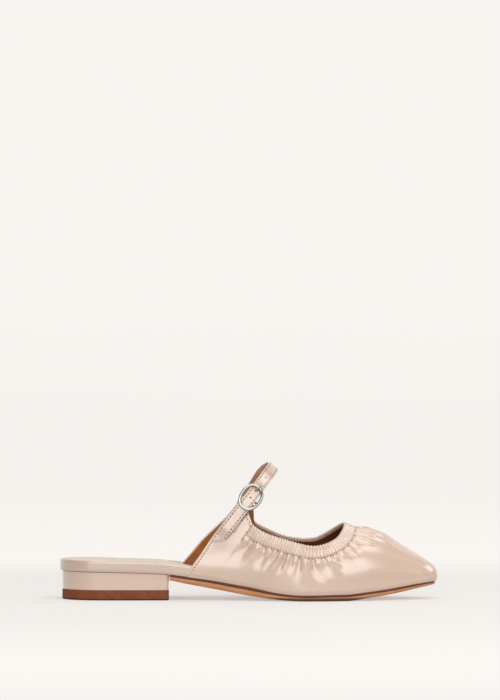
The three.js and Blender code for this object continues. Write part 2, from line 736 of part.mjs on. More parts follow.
function makeBuckleProng() {
  const rest = frameOff + (FRAME_WIRE + PRONG_WIRE) / 2 + PIECE_GAP;
  const root = BAR_WIRE / 2 + PIECE_GAP;
  const route = PRONG_ROUTE.map(({ ahead, up, over }) => {
    return { ahead: HOLE_AHEAD + ahead, across: 0, off: barOff + up + (rest - barOff) * over };
  });
  route.unshift({ ahead: root, across: 0, off: barOff });
  return buckleWire(route, PRONG_WIRE / 2, false);
}

function material(color, roughness, metalness = 0) {
  return new THREE.MeshStandardMaterial({ color, roughness, metalness });
}

// Turns a solid into a named mesh with its own material.
function piece(name, body, look) {
  const { numProp, vertProperties, triVerts } = body.getMesh();
  const positions = new Float32Array((vertProperties.length / numProp) * 3);
  for (let i = 0; i < positions.length / 3; i += 1) {
    positions.set(vertProperties.subarray(i * numProp, i * numProp + 3), i * 3);
  }
  const geometry = new THREE.BufferGeometry();
  geometry.setAttribute("position", new THREE.BufferAttribute(positions, 3));
  geometry.setIndex(Array.from(triVerts));
  geometry.computeVertexNormals();
  const mesh = new THREE.Mesh(geometry, look);
  mesh.name = name;
  return mesh;
}

const shoe = new THREE.Group();
shoe.add(
  piece("outsole", makeOutsole(), material(0x8a5634, 0.55)),
  piece("heel", makeHeel(), material(0xd6bdad, 0.5)),
  piece("heel_top_piece", makeTopPiece(), material(0x854e30, 0.6)),
  piece("insole", makeInsole(), material(0xe6deca, 0.6)),
  piece("heel_rand", makeHeelRand(), material(0xd8bfae, 0.5)),
  piece("upper", makeUpper(), material(0xdcc2b0, 0.5)),
  piece("strap", makeStrap(), material(0xdcc2b0, 0.5)),
  piece("buckle_tab", makeBuckleTab(), material(0xdcc2b0, 0.5)),
  piece("buckle_frame", makeBuckleFrame(), material(0xc8c8c8, 0.2, 1)),
  piece("buckle_prong", makeBuckleProng(), material(0xc8c8c8, 0.2, 1)),
);

// The origin is on the floor under the middle of the shoe.
const bounds = new THREE.Box3().setFromObject(shoe);
const middle = bounds.getCenter(new THREE.Vector3());
shoe.position.set(-middle.x, -middle.y, -bounds.min.z);

export default shoe;
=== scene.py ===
import math
import random

import bmesh
import bpy
import numpy as np
from mathutils import Euler, Matrix, Vector
from mathutils.kdtree import KDTree


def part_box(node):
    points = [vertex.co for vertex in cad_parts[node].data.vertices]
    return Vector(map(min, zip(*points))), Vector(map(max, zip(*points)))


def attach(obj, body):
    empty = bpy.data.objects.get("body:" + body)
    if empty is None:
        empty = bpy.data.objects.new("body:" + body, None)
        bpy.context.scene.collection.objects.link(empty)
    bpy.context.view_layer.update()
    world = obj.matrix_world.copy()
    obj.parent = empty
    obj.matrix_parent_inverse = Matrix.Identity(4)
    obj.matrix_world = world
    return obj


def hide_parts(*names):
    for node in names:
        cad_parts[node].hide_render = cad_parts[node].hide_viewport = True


# A right-foot mule with a gathered topline. Lengths are millimetres from the back of the heel and
# the floor until to_frame() places them in the frame, which is in metres.

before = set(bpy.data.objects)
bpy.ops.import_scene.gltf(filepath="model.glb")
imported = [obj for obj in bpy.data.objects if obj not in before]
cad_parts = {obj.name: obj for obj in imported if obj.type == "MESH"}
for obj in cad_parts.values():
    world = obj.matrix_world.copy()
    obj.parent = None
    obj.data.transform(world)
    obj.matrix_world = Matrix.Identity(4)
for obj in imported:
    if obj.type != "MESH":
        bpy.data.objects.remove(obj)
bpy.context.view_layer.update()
MM = 0.001

# Last and sole
LENGTH = 258.0
BALL_WIDTH = 78.0
INSTEP_HEIGHT = 83.0
HEEL_RISE = 15.6
TOE_SPRING = 10.0
SOLE_THICKNESS = 4.0
HEEL_LENGTH = 75.0
HEEL_ROUND = 27.0
TOE_ROUND = 14.0
TOE_FULLNESS = 2.2
TOE_WALL = 5.0
TOE_WALL_FULLNESS = 3.0
PIECE_GAP = 0.3
SOCK_HEIGHT = 7.4
SOCK_INSET = 2.0
SOCK_ROLL = 1.3
RAND_HEIGHT = 7.3
RAND_WALL = 1.7
RAND_FRONT = 85.0
SOLE_INSET = 0.5
SOLE_TIP_INSET = 1.4
SOLE_EDGE_WIDTH = 1.6
TOP_PIECE_HEIGHT = 6.7
TOP_PIECE_PROUD = 0.4
HEEL_INSET = 1.4
HEEL_TAPER = 0.5
HEEL_CORNER = 2.0
BREAST_HOLLOW = 0.3
BREAST_SKEW = 1.4

# Section of the rand: how far in and, as a share of its height, how far up
RAND_SECTION = (
    *((RAND_WALL, 0.0), (0.9, 0.0), (0.35, 0.0), (0.12, 0.03), (0.0, 0.1), (0.0, 0.3)),
    *((0.0, 0.5), (0.0, 0.7), (0.0, 0.82), (0.02, 0.88), (0.1, 0.93), (0.25, 0.97)),
    *((0.5, 0.99), (0.85, 1.0), (1.15, 0.98), (1.4, 0.93), (1.6, 0.86)),
    *((RAND_WALL, 0.78), (RAND_WALL, 0.4)),
)

# Section of the sole's edge: inset in millimetres, up as a share of its thickness, and how far
# it is dark, partly the edge's dye and partly painted shade of the recess under the upper, and how
# far brushed as the flat underside
SOLE_EDGE = """
inset up   dark flat
1.5   0.0  0    0.7
1.0   0.03 0    0.3
0.6   0.1  0    0
0.32  0.2  0    0
0.16  0.34 0    0
0.14  0.48 0    0
0.26  0.59 0    0
0.45  0.64 0.1  0
0.62  0.68 0.9  0
0.5   0.74 1    0
0.35  0.82 1    0
0.35  0.93 1    0
0.5   0.99 1    0
0.9   1.0  1    0
"""

# Upper
LEATHER = 1.1
LINING = 0.45
TOP_HEM = 1.8
REAR_HEM = 0.5
TUCK = 0.9
TUCK_HEIGHT = 2.6
BAND_WIDTH = 8.0
BAND_RAISE = 0.75
BAND_START = {"at": 0.487, "up": 0.402, "lean": 34.5}
BAND_FADE = 0.8
THROAT_PULL = 1.4
QUARTER_ROLL = 0.9
PLEAT_SPACING = (1.35, 2.3)
PLEAT_STRENGTH = (0.55, 1.0)
PLEAT_WAVER = 0.45
SEAM_GROOVE = 0.16
START_GROOVE = 0.25
HEM_FOLD = 0.12
LUMPS = 0.1
FOOT_DROP = 0.26
SCALLOP = 0.6
EDGE_SEAM = 1.6
EDGE_PITCH = 0.25

# Strap and buckle
STRAP_WIDTH = 8.4
STRAP_THICKNESS = 1.4
STRAP_SEAM = 1.3
TAB_SEAM = 4.75
TAB_THICKNESS = 1.1
BAR_WIRE = 1.2
FRAME_WIRE = 1.6
BUCKLE_LENGTH = 19.0
BUCKLE_WIDTH = 14.8
BUCKLE_TURN = -0.618
BUCKLE_SQUARE = 0.9
RING_RADIUS = 1.02
PRONG_WIRE = 1.2
TAB_LENGTH = 24.0
TAB_OVERHANG = 2.2
STRAP_CORNER = 0.4
STRAP_CHAMFER = 2.3
STRAP_END_DROP = 0.7
STRAP_SWAY = 3.0
STRAP_END = {"at": 0.419, "up": 0.342}
STRAP_CROWN = 0.562
STRAP_MEDIAL_TURN = 0.72
PRONG_HOLE = 5.7
PRONG_SLOT = (PRONG_HOLE + 0.9, 3.0, 1.5)
BAR_DROP = ((0.0, 0.0), (0.4, 0.4), (0.9, 0.75), (1.5, 0.95), (2.2, 1.0))
EYELETS = (-0.3, 20.6)
EYELET = 1.4

# Strap, a row per turn from its lateral end at -1 over the crown at 0: stack and loose say how high
# it lies over the last, sway how much of STRAP_SWAY it lies behind its plane
LIFT_ROWS = """
turn  stack loose sway
-1.1  0     0     0
-0.98 0.05  0.1   0
-0.91 0.56  0.1   0
-0.82 0.66  0.1   0
-0.7  1     0.1   0
-0.5  1     0     0
-0.2  0.4   0.6   0
0.0   0     1     0.15
0.35  0     0.5   1
0.5   0     0     0.7
0.65  0     0     0.2
1.0   0     0     0
"""

# Seam of the lateral ear from the strap to the band, seen from the side, in millimetres, and how
# far ahead and up the medial ear's lies
LATERAL_EAR_SEAM = (
    (127.3, 55.8),
    (128.4, 54.8),
    (129.3, 53.0),
    (129.9, 49.8),
    (128.7, 48.1),
    (127.3, 46.3),
    (126.2, 44.3),
    (125.5, 42.9),
)
MEDIAL_EAR_SHIFT = (2.0, 1.5)

# Sole line: rise is a share of HEEL_RISE, spring of TOE_SPRING, thick of SOLE_THICKNESS and bed,
# the sock on the sole, of SOCK_HEIGHT
SOLE_ROWS = """
at    rise  spring thick bed
0.0   1.0   0      1.0  1.0
0.078 0.974 0      1.0  1.0
0.202 0.929 0      1.0  0.93
0.271 0.885 0      0.98 0.9
0.292 0.862 0      0.96 0.86
0.331 0.731 0      1.15 0.78
0.419 0.462 0      1.38 0.6
0.495 0.237 0      1.36 0.48
0.571 0.07  0      1.05 0.42
0.621 0.012 0      0.94 0.4
0.64  0     0      0.94 0.4
0.75  0     0      1.05 0.4
0.815 0     0.2    0.92 0.4
0.857 0     0.35   0.87 0.38
0.9   0     0.54   0.8  0.36
0.942 0     0.77   0.66 0.34
1.0   0     1.05   0.48 0.3
"""

# Last: lateral, medial and bulge are shares of BALL_WIDTH, ridge of INSTEP_HEIGHT, square is how
# full the section is
LAST_ROWS = """
at    lateral medial ridge bulge square
0.0   0.34    0.34   1.3   0.015 2.2
0.17  0.359   0.359  1.3   0.02  2.2
0.29  0.347   0.327  1.3   0.03  2.2
0.35  0.344   0.293  1.29  0.036 2.15
0.419 0.353   0.277  1.225 0.042 2.1
0.495 0.404   0.316  1.125 0.036 2.05
0.562 0.473   0.39   1.0   0.03  2.0
0.62  0.517   0.452  0.87  0.028 2.0
0.65  0.525   0.474  0.805 0.028 2.0
0.698 0.514   0.488  0.692 0.026 2.05
0.751 0.476   0.468  0.572 0.026 2.1
0.778 0.448   0.441  0.535 0.024 2.15
0.815 0.404   0.396  0.505 0.02  2.2
0.857 0.345   0.332  0.447 0.016 2.2
0.89  0.296   0.278  0.365 0.014 2.2
0.922 0.247   0.229  0.291 0.012 2.25
0.953 0.203   0.188  0.219 0.01  2.3
0.985 0.166   0.153  0.141 0.008 2.4
1.0   0.15    0.138  0.1   0.006 2.5
"""

# Edges of the quarters from each side: at is a share of LENGTH, up of INSTEP_HEIGHT over the sole
LATERAL_REAR = """
at    up
0.315 -0.13
0.338 0.0
0.354 0.096
0.369 0.165
0.386 0.254
0.406 0.357
0.428 0.459
0.451 0.569
0.465 0.636
"""
LATERAL_TOPLINE = """
at     up
0.495  0.622
0.504  0.55
0.511  0.504
0.526  0.478
0.551  0.456
0.59   0.436
0.628  0.411
0.663  0.389
0.692  0.396
0.715  0.42
0.732  0.45
0.744  0.49
0.751  0.535
0.7535 0.585
0.754  0.7
"""
MEDIAL_REAR = """
at    up
0.277 -0.13
0.306 0.0
0.33  0.106
0.352 0.195
0.374 0.287
0.409 0.41
0.434 0.496
0.458 0.593
0.482 0.71
"""
MEDIAL_TOPLINE = """
at     up
0.512  0.68
0.51   0.607
0.512  0.53
0.524  0.5
0.558  0.469
0.583  0.447
0.615  0.43
0.653  0.423
0.68   0.431
0.703  0.465
0.722  0.5
0.738  0.533
0.748  0.56
0.7535 0.59
0.754  0.7
"""

# Where the threads of the grid that start on an edge end on the feather line: share runs along
# the edge, foot is a share of LENGTH
LATERAL_REAR_FEET = """
share foot
0.0   0.338
0.25  0.405
0.5   0.45
0.75  0.474
1.0   0.49
"""
MEDIAL_REAR_FEET = """
share foot
0.0   0.306
0.25  0.38
0.5   0.435
0.75  0.47
1.0   0.495
"""
TOPLINE_FEET = """
share foot
0.0   0.512
0.1   0.535
0.3   0.602
0.49  0.682
0.63  0.76
0.68  0.795
0.73  0.83
0.8   0.88
0.9   0.95
1.0   1.0
"""

# Main gathers below the band: side is -1 lateral or 1 medial, share is the place along that
# side's topline from ear to throat, reach, width, depth and swing are millimetres
GATHERS = """
side share reach width depth swing
-1   0.12  30    3.6   0.5   -9
-1   0.195 21    2.9   1.5   -2.5
-1   0.25  10    1.7   0.5   -2
-1   0.3   14    1.6   0.7   -3.5
-1   0.34  20    2.0   1.4   -4.5
-1   0.385 15    1.3   0.8   0
-1   0.43  12    1.5   0.6   1.5
-1   0.478 20    2.1   1.4   3
-1   0.535 9     1.2   0.5   1
-1   0.588 16    1.6   1.0   2.5
-1   0.625 8     1.0   0.5   1
-1   0.66  12    1.6   0.8   1
-1   0.705 11    1.2   0.7   1
-1   0.742 9     1.0   0.6   1
-1   0.79  24    1.8   1.2   3.5
-1   0.838 34    1.7   1.3   4
-1   0.888 44    1.9   1.6   4
-1   0.93  50    1.8   1.7   3
-1   0.965 52    1.9   1.9   2
-1   0.997 34    1.6   0.7   1
1    0.13  26    3.4   0.9   -7
1    0.21  19    2.6   1.3   -2
1    0.28  11    1.7   0.6   -2
1    0.33  20    2.0   1.3   -2
1    0.385 12    1.3   0.7   0
1    0.44  19    1.9   1.3   1.5
1    0.49  9     1.2   0.5   1
1    0.545 16    1.6   1.1   2
1    0.6   10    1.2   0.7   1
1    0.65  15    1.5   1.0   2
1    0.705 10    1.1   0.6   1
1    0.76  18    1.7   1.2   3
1    0.81  15    1.4   0.9   2
1    0.86  26    1.8   1.5   3
1    0.91  30    1.6   1.4   2.5
1    0.955 36    1.8   1.8   2
"""


def smoothstep(value, low=0.0, high=1.0):
    share = np.clip((np.asarray(value, float) - low) / (high - low), 0.0, 1.0)
    return share * share * (3.0 - 2.0 * share)


def bell(value, width):
    return np.exp(-((value / width) ** 2))


def read_rows(text):
    """The rows of a table as dicts by column name."""
    head, *lines = [line.split() for line in text.strip().splitlines()]
    return [dict(zip(head, map(float, line))) for line in lines]


def steady_slopes(xs, ys):
    steps = np.diff(ys) / np.diff(xs)
    slopes = np.empty(len(xs))
    slopes[0], slopes[-1] = steps[0], steps[-1]
    before, after = steps[:-1], steps[1:]
    total = np.where(before + after == 0, 1.0, before + after)
    slopes[1:-1] = np.where(before * after <= 0, 0.0, 2 * before * after / total)
    return slopes


def curve_through(xs, ys):
    """A smooth function through points that never overshoots them."""
    xs, ys = np.asarray(xs, float), np.asarray(ys, float)
    slopes = steady_slopes(xs, ys)

    def value(at):
        x = np.clip(at, xs[0], xs[-1])
        i = np.clip(np.searchsorted(xs, x, side="right") - 1, 0, len(xs) - 2)
        span = xs[i + 1] - xs[i]
        t = (x - xs[i]) / span
        rest = 1 - t
        return (
            ys[i] * (1 + 2 * t) * rest * rest
            + ys[i + 1] * t * t * (3 - 2 * t)
            + slopes[i] * span * t * rest * rest
            - slopes[i + 1] * span * t * t * rest
        )

    return value


def columns(text):
    """Each column of a table as a smooth function of its first column."""
    rows = read_rows(text)
    first, *names = rows[0]
    xs = [row[first] for row in rows]
    return {name: curve_through(xs, [row[name] for row in rows]) for name in names}


SOLE = columns(SOLE_ROWS)
LAST = columns(LAST_ROWS)


def underside(x):
    return HEEL_RISE * SOLE["rise"](x / LENGTH) + TOE_SPRING * SOLE["spring"](x / LENGTH)


def seat(x):
    return underside(x) + SOLE_THICKNESS * SOLE["thick"](x / LENGTH)


def end_round(distance, reach, power):
    depth = np.clip(1 - np.asarray(distance, float) / reach, 0, 1)
    return (1 - depth**power) ** (1 / power)


def half_width(x, side, grow=0.0, tip=LENGTH):
    share = np.where(side < 0, LAST["lateral"](x / LENGTH), LAST["medial"](x / LENGTH))
    back = end_round(x + grow, HEEL_ROUND, 2)
    front = end_round(tip + grow - x, TOE_ROUND, TOE_FULLNESS)
    return (BALL_WIDTH * share + grow) * back * front


def last_heights(x, grow=0.0):
    low = seat(x) + PIECE_GAP
    close = end_round(LENGTH + grow - x, TOE_WALL, TOE_WALL_FULLNESS)
    return low, low + (INSTEP_HEIGHT * LAST["ridge"](x / LENGTH) + grow) * close


def last_reach(x, side, turn, grow=0.0):
    full = 2 / LAST["square"](x / LENGTH)
    front = end_round(LENGTH + grow - x, TOE_ROUND, TOE_FULLNESS)
    bulge = BALL_WIDTH * LAST["bulge"](x / LENGTH) * front
    return half_width(x, side, grow) * np.cos(turn) ** full + bulge * np.sin(2 * turn)


def unrolled(x):
    """Length along the plan where the toe's round end is rolled out flat."""
    start = LENGTH - TOE_ROUND
    share = np.clip((x - start) / TOE_ROUND, 0, 1)
    return np.where(x > start, start + TOE_ROUND * np.arcsin(share), x)


def rolled(length):
    start = LENGTH - TOE_ROUND
    turn = np.clip((length - start) / TOE_ROUND, 0, math.pi / 2)
    return np.where(length > start, start + TOE_ROUND * np.sin(turn), length)


def turn_at_height(x, z, grow=0.0):
    """How far round its section, from the feather line to the ridge, the last has a height."""
    low, high = last_heights(x, grow)
    share = np.clip((z - low) / (high - low), 0, 1)
    return np.arcsin(share ** (LAST["square"](x / LENGTH) / 2))


def onto_map(x, z, side):
    """Place on the last's map of a point seen from the side: length runs to the toe, across from
    the ridge to the feather line, negative on the lateral side."""
    turn = turn_at_height(x, z)
    return np.stack([unrolled(x), side * (1 - turn / (math.pi / 2)) * half_width(x, side)], axis=-1)


def spline(points, steps=24):
    """A smooth line through points."""
    points = np.asarray(points, float)
    padded = np.vstack([points[0], points, points[-1]])
    t = np.linspace(0, 1, steps, endpoint=False)[:, None]
    parts = []
    for a, b, c, d in zip(padded, padded[1:], padded[2:], padded[3:]):
        near, far = (c - a) / 2, (d - b) / 2
        parts.append(
            b + near * t + (3 * (c - b) - 2 * near - far) * t**2 + (2 * (b - c) + near + far) * t**3
        )
    return np.vstack([*parts, points[-1:]])


def lengths_along(points):
    steps = np.linalg.norm(np.diff(points, axis=0), axis=1)
    return np.concatenate([[0.0], np.cumsum(steps)])


def spaced(points, at):
    """Points at given lengths along a line."""
    run = lengths_along(points)
    return np.stack([np.interp(at, run, points[:, i]) for i in range(points.shape[1])], axis=1)


def evenly(points, pitch):
    run = lengths_along(points)[-1]
    return spaced(points, np.linspace(0, run, max(int(round(run / pitch)), 2) + 1))


def eased(points, window):
    """Rounds a line's corners, its ends kept."""
    kernel = np.ones(2 * window + 1) / (2 * window + 1)
    padded = np.vstack([
        2 * points[0] - points[window:0:-1],
        points,
        2 * points[-1] - points[-2 : -window - 2 : -1],
    ])
    return np.stack([np.convolve(padded[:, i], kernel, "valid") for i in range(2)], axis=1)


def side_view(text):
    rows = read_rows(text)
    x = np.array([row["at"] for row in rows]) * LENGTH
    up = np.array([row["up"] for row in rows]) * INSTEP_HEIGHT
    return spline(np.stack([x, seat(x) + PIECE_GAP + up], axis=1))


def quarter_edge(side):
    """One side's edge on the last's map, from the rear foot of the quarter to the throat, and the
    numbers of the points at which its ear begins and ends."""
    rear = side_view(LATERAL_REAR if side < 0 else MEDIAL_REAR)
    topline = side_view(LATERAL_TOPLINE if side < 0 else MEDIAL_TOPLINE)
    rear = rear[rear[:, 1] > seat(rear[:, 0]) + PIECE_GAP]
    topline = topline[topline[:, 1] < last_heights(topline[:, 0])[1]]
    whole = np.vstack([rear, topline])
    total = lengths_along(whole)[-1]
    line = eased(evenly(whole, EDGE_PITCH), 5)
    mapped = onto_map(line[:, 0], line[:, 1], side)
    throat = np.array([[mapped[-1, 0] + 0.05, 0.0]])
    ear = [
        int(lengths_along(part)[-1] / total * len(line))
        for part in (rear, np.vstack([rear, topline[:1]]))
    ]
    return np.vstack([mapped, throat]), *ear


def to_frame(points):
    """Millimetres from the heel and floor to the frame's metres."""
    low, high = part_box("heel_rand")
    shift = np.array([low[0] / MM, (low[1] + high[1]) / 2 / MM, 0.0])
    return (np.asarray(points, float) + shift) * MM


class Patchwork:
    """Seeded smooth noise over a plane, between -1 and 1."""

    def __init__(self, seed, size=64):
        self.cells = np.random.RandomState(seed).uniform(-1, 1, (size, size))
        self.size = size

    def __call__(self, u, v):
        i, j = np.floor(u).astype(int), np.floor(v).astype(int)
        a, b = smoothstep(u - i), smoothstep(v - j)

        def cell(di, dj):
            return self.cells[(i + di) % self.size, (j + dj) % self.size]

        near = cell(0, 0) * (1 - a) + cell(1, 0) * a
        far = cell(0, 1) * (1 - a) + cell(1, 1) * a
        return near * (1 - b) + far * b


def ring_faces(rows, cols):
    """Quads of a grid of vertices stored row by row, each row a closed ring."""
    i, j = np.meshgrid(np.arange(rows - 1), np.arange(cols), indexing="ij")
    right = (j + 1) % cols
    corners = [i * cols + j, i * cols + right, (i + 1) * cols + right, (i + 1) * cols + j]
    return np.stack([corner.ravel() for corner in corners], axis=1)


# masks of a piece with no painted crease or seam shade and no raw inside
UNMARKED = {"hollow": 0.0, "seam": 0.0, "inside": 0.0}


def add_object(name, data):
    made = bpy.data.objects.new(name, data)
    bpy.context.collection.objects.link(made)
    return made


def make_mesh(name, points, faces, merge, marks):
    """A mesh object from millimetre points, its doubles merged and its faces looking outwards."""
    mesh = bpy.data.meshes.new(name)
    mesh.from_pydata(to_frame(points).tolist(), [], [list(map(int, face)) for face in faces])
    for key, values in marks.items():
        layer = mesh.attributes.new(key, "FLOAT", "POINT")
        layer.data.foreach_set("value", np.asarray(values, float).ravel())
    work = bmesh.new()
    work.from_mesh(mesh)
    bmesh.ops.remove_doubles(work, verts=work.verts, dist=merge * MM)
    bmesh.ops.dissolve_degenerate(work, edges=work.edges, dist=merge * MM * 0.1)
    bmesh.ops.recalc_face_normals(work, faces=work.faces)
    work.to_mesh(mesh)
    work.free()
    mesh.shade_smooth()
    return add_object(name, mesh)


def close_holes(piece):
    work = bmesh.new()
    work.from_mesh(piece.data)
    bmesh.ops.holes_fill(work, edges=[edge for edge in work.edges if edge.is_boundary], sides=0)
    bmesh.ops.recalc_face_normals(work, faces=work.faces)
    work.to_mesh(piece.data)
    work.free()
    piece.data.shade_smooth()


def make_shell(name, points, merge=0.003, sharp=None, **marks):
    """A closed piece from a grid of points whose rows are rings, with numbers kept on its points
    and its edges sharp above an angle in degrees."""
    shape = points.shape[:2]
    kept = {key: np.broadcast_to(values, shape) for key, values in marks.items()}
    piece = make_mesh(name, points.reshape(-1, 3), ring_faces(*shape), merge, kept)
    close_holes(piece)
    if sharp:
        piece.data.set_sharp_from_angle(angle=math.radians(sharp))
    return piece


def dressed(piece, material, slot, *nodes):
    """Gives a finished piece its material and body and hides the CAD nodes that it stands for; its
    slot is not used.
    """
    if material is not None:
        piece.data.materials.clear()
        piece.data.materials.append(material)
    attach(piece, "root")
    if nodes:
        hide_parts(*nodes)
    return piece


# Camera, floor and lights

CAMERA_DISTANCE = 2200.0
CAMERA_HEIGHT = 125.0
AIM = (129.7, 169.7)
PHOTO_HEIGHT = 479.0


def make_camera():
    camera = add_object("camera", bpy.data.cameras.new("camera"))
    eye = Vector(to_frame((AIM[0], -CAMERA_DISTANCE, CAMERA_HEIGHT)))
    target = Vector(to_frame((AIM[0], 0.0, AIM[1])))
    camera.location = eye
    camera.rotation_euler = (target - eye).to_track_quat("-Z", "Y").to_euler()
    camera.data.sensor_width = 36.0
    camera.data.lens = 36.0 * CAMERA_DISTANCE / PHOTO_HEIGHT
    camera.data.clip_start = 0.05
    camera.data.clip_end = 50.0
    bpy.context.scene.camera = camera


def make_floor(material):
    """A floor that curves up into a backdrop far behind the shoe."""
    turns = np.linspace(0.05, math.pi / 2, 24)
    bend = [(1.6 + 1.2 * math.sin(turn), 1.2 - 1.2 * math.cos(turn)) for turn in turns]
    profile = [(-4.0, 0.0), (1.6, 0.0), *bend, (2.8, 5.0)]
    points = [(x, y, z) for y, z in profile for x in (-5.0, 5.0)]
    faces = [(2 * i, 2 * i + 1, 2 * i + 3, 2 * i + 2) for i in range(len(profile) - 1)]
    mesh = bpy.data.meshes.new("floor")
    mesh.from_pydata(points, [], faces)
    mesh.shade_smooth()
    mesh.materials.append(material)
    floor = add_object("floor", mesh)


def make_light(name, place, target, size, power, roll=0.0):
    """A lamp that faces its target, turned by roll degrees about its own axis."""
    lamp = bpy.data.lights.new(name, "AREA")
    lamp.shape = "RECTANGLE"
    lamp.size, lamp.size_y = size
    lamp.energy = power
    holder = add_object(name, lamp)
    holder.visible_camera = False
    holder.location = place
    aim = (Vector(target) - Vector(place)).to_track_quat("-Z", "Y")
    turn = Euler((0.0, 0.0, math.radians(roll))).to_quaternion()
    holder.rotation_euler = (aim @ turn).to_euler()


def light_studio():
    make_light("front_softbox", (0.41, -2.5, 1.18), (0.41, 0.0, 1.18), (5.0, 1.9), 86.0, 18.0)
    make_light("overhead_softbox", (0.2, -0.45, 1.7), (0.1, 0.0, 0.0), (2.2, 1.1), 22.0)
    make_light("toe_softbox", (1.8, 0.3, 0.9), (0.0, 0.0, 0.03), (0.8, 0.8), 6.0)
    world = bpy.data.worlds.new("studio")
    world.use_nodes = True
    backdrop = world.node_tree.nodes["Background"]
    backdrop.inputs["Color"].default_value = (1.0, 0.975, 0.95, 1.0)
    backdrop.inputs["Strength"].default_value = 0.32
    bpy.context.scene.world = world
    bpy.context.scene.view_settings.view_transform = "Standard"


# Materials


class Worth:
    """A value that changes over a surface; sums with it become Math nodes."""

    def __init__(self, recipe, socket):
        self.recipe, self.socket = recipe, socket

    def math(self, operation, other):
        return self.recipe.get("ShaderNodeMath", {"operation": operation}, {0: self, 1: other})

    def __add__(self, other):
        return self.math("ADD", other)

    def __sub__(self, other):
        return self.math("SUBTRACT", other)

    def __rsub__(self, other):
        return self * -1.0 + other

    def __mul__(self, other):
        return self.math("MULTIPLY", other)

    __radd__, __rmul__ = __add__, __mul__

    def clamped(self):
        return self.recipe.get("ShaderNodeClamp", {}, {"Value": self, "Min": 0.0, "Max": 1.0})

    def ease(self, low, high):
        """0 below low, 1 above high and smooth between."""
        return self.recipe.get(
            "ShaderNodeMapRange",
            {"interpolation_type": "SMOOTHSTEP"},
            {"Value": self, "From Min": low, "From Max": high},
        )


class Recipe:
    """A material and the nodes that it is mixed from."""

    def __init__(self, name, **finish):
        self.material = bpy.data.materials.new(name)
        self.material.use_nodes = True
        self.tree = self.material.node_tree
        self.shader = self.tree.nodes["Principled BSDF"]
        for socket, value in finish.items():
            self.shader.inputs[socket.replace("_", " ")].default_value = value

    def get(self, kind, settings=None, sockets=None, output=0):
        """An output of a new node, its settings made first and then its sockets."""
        node = self.tree.nodes.new(kind)
        for key, value in (settings or {}).items():
            setattr(node, key, value)
        for key, value in (sockets or {}).items():
            if isinstance(value, Worth):
                self.tree.links.new(value.socket, node.inputs[key])
            else:
                node.inputs[key].default_value = value
        return Worth(self, node.outputs[output])

    def place(self, scale=(1.0, 1.0, 1.0)):
        """Object coordinates in millimetres, stretched by scale."""
        where = self.get("ShaderNodeTexCoord", output="Object")
        factors = tuple(1000.0 * value for value in scale)
        return self.get("ShaderNodeVectorMath", {"operation": "MULTIPLY"}, {0: where, 1: factors})

    def axis(self, name):
        return self.get("ShaderNodeSeparateXYZ", {}, {0: self.place()}, output=name)

    def noise(self, size, detail=3.0, rough=0.5, scale=(1.0, 1.0, 1.0)):
        """Smooth noise from 0 to 1 whose lumps are about size millimetres."""
        sockets = {"Vector": self.place(scale), "Scale": 1 / size}
        sockets.update({"Detail": detail, "Roughness": rough})
        return self.get("ShaderNodeTexNoise", {}, sockets, output="Fac")

    def cells(self, size):
        """Distance from the middles of cells about size millimetres wide."""
        sockets = {"Vector": self.place(), "Scale": 1 / size}
        return self.get("ShaderNodeTexVoronoi", {}, sockets, output="Distance")

    def mark(self, name):
        """A number kept on the mesh."""
        return self.get("ShaderNodeAttribute", {"attribute_name": name}, output="Fac")

    def blend(self, factor, first, second, way="MIX"):
        first = first if isinstance(first, Worth) else (*first, 1.0)
        second = second if isinstance(second, Worth) else (*second, 1.0)
        settings = {"data_type": "RGBA", "blend_type": way}
        return self.get("ShaderNodeMix", settings, {0: factor, 6: first, 7: second}, output=2)

    def layered(self, first, *layers):
        """A screen colour under others: each layer is how much it covers and its colour."""
        base = srgb(*first)
        for cover, colour in layers:
            base = self.blend(cover, base, srgb(*colour))
        return base

    def bump(self, height, distance, strength, under=None):
        """Relief of the given height in millimetres."""
        sockets = {"Height": height, "Distance": distance * MM, "Strength": strength}
        if under is not None:
            sockets["Normal"] = under
        return self.get("ShaderNodeBump", {}, sockets)

    def finish(self, **parts):
        for socket, value in parts.items():
            self.tree.links.new(value.socket, self.shader.inputs[socket.replace("_", " ")])
        return self.material


def srgb(red, green, blue):
    """A colour as eyes and screens give it, as light."""

    def light(value):
        value /= 255.0
        return value / 12.92 if value <= 0.04045 else ((value + 0.055) / 1.055) ** 2.4

    return light(red), light(green), light(blue)


def leather_grain(recipe, pore, depth):
    """Fine pebbles with pores and faint stretch lines, as normal."""
    pebbles = recipe.cells(pore).clamped()
    fine = recipe.noise(pore * 0.6, 4.0, 0.6)
    skin = recipe.bump(pebbles * 0.55 + fine * 0.45, depth, 0.55)
    return recipe.bump(recipe.noise(9.0, 2.0), 0.25, 0.35, skin)


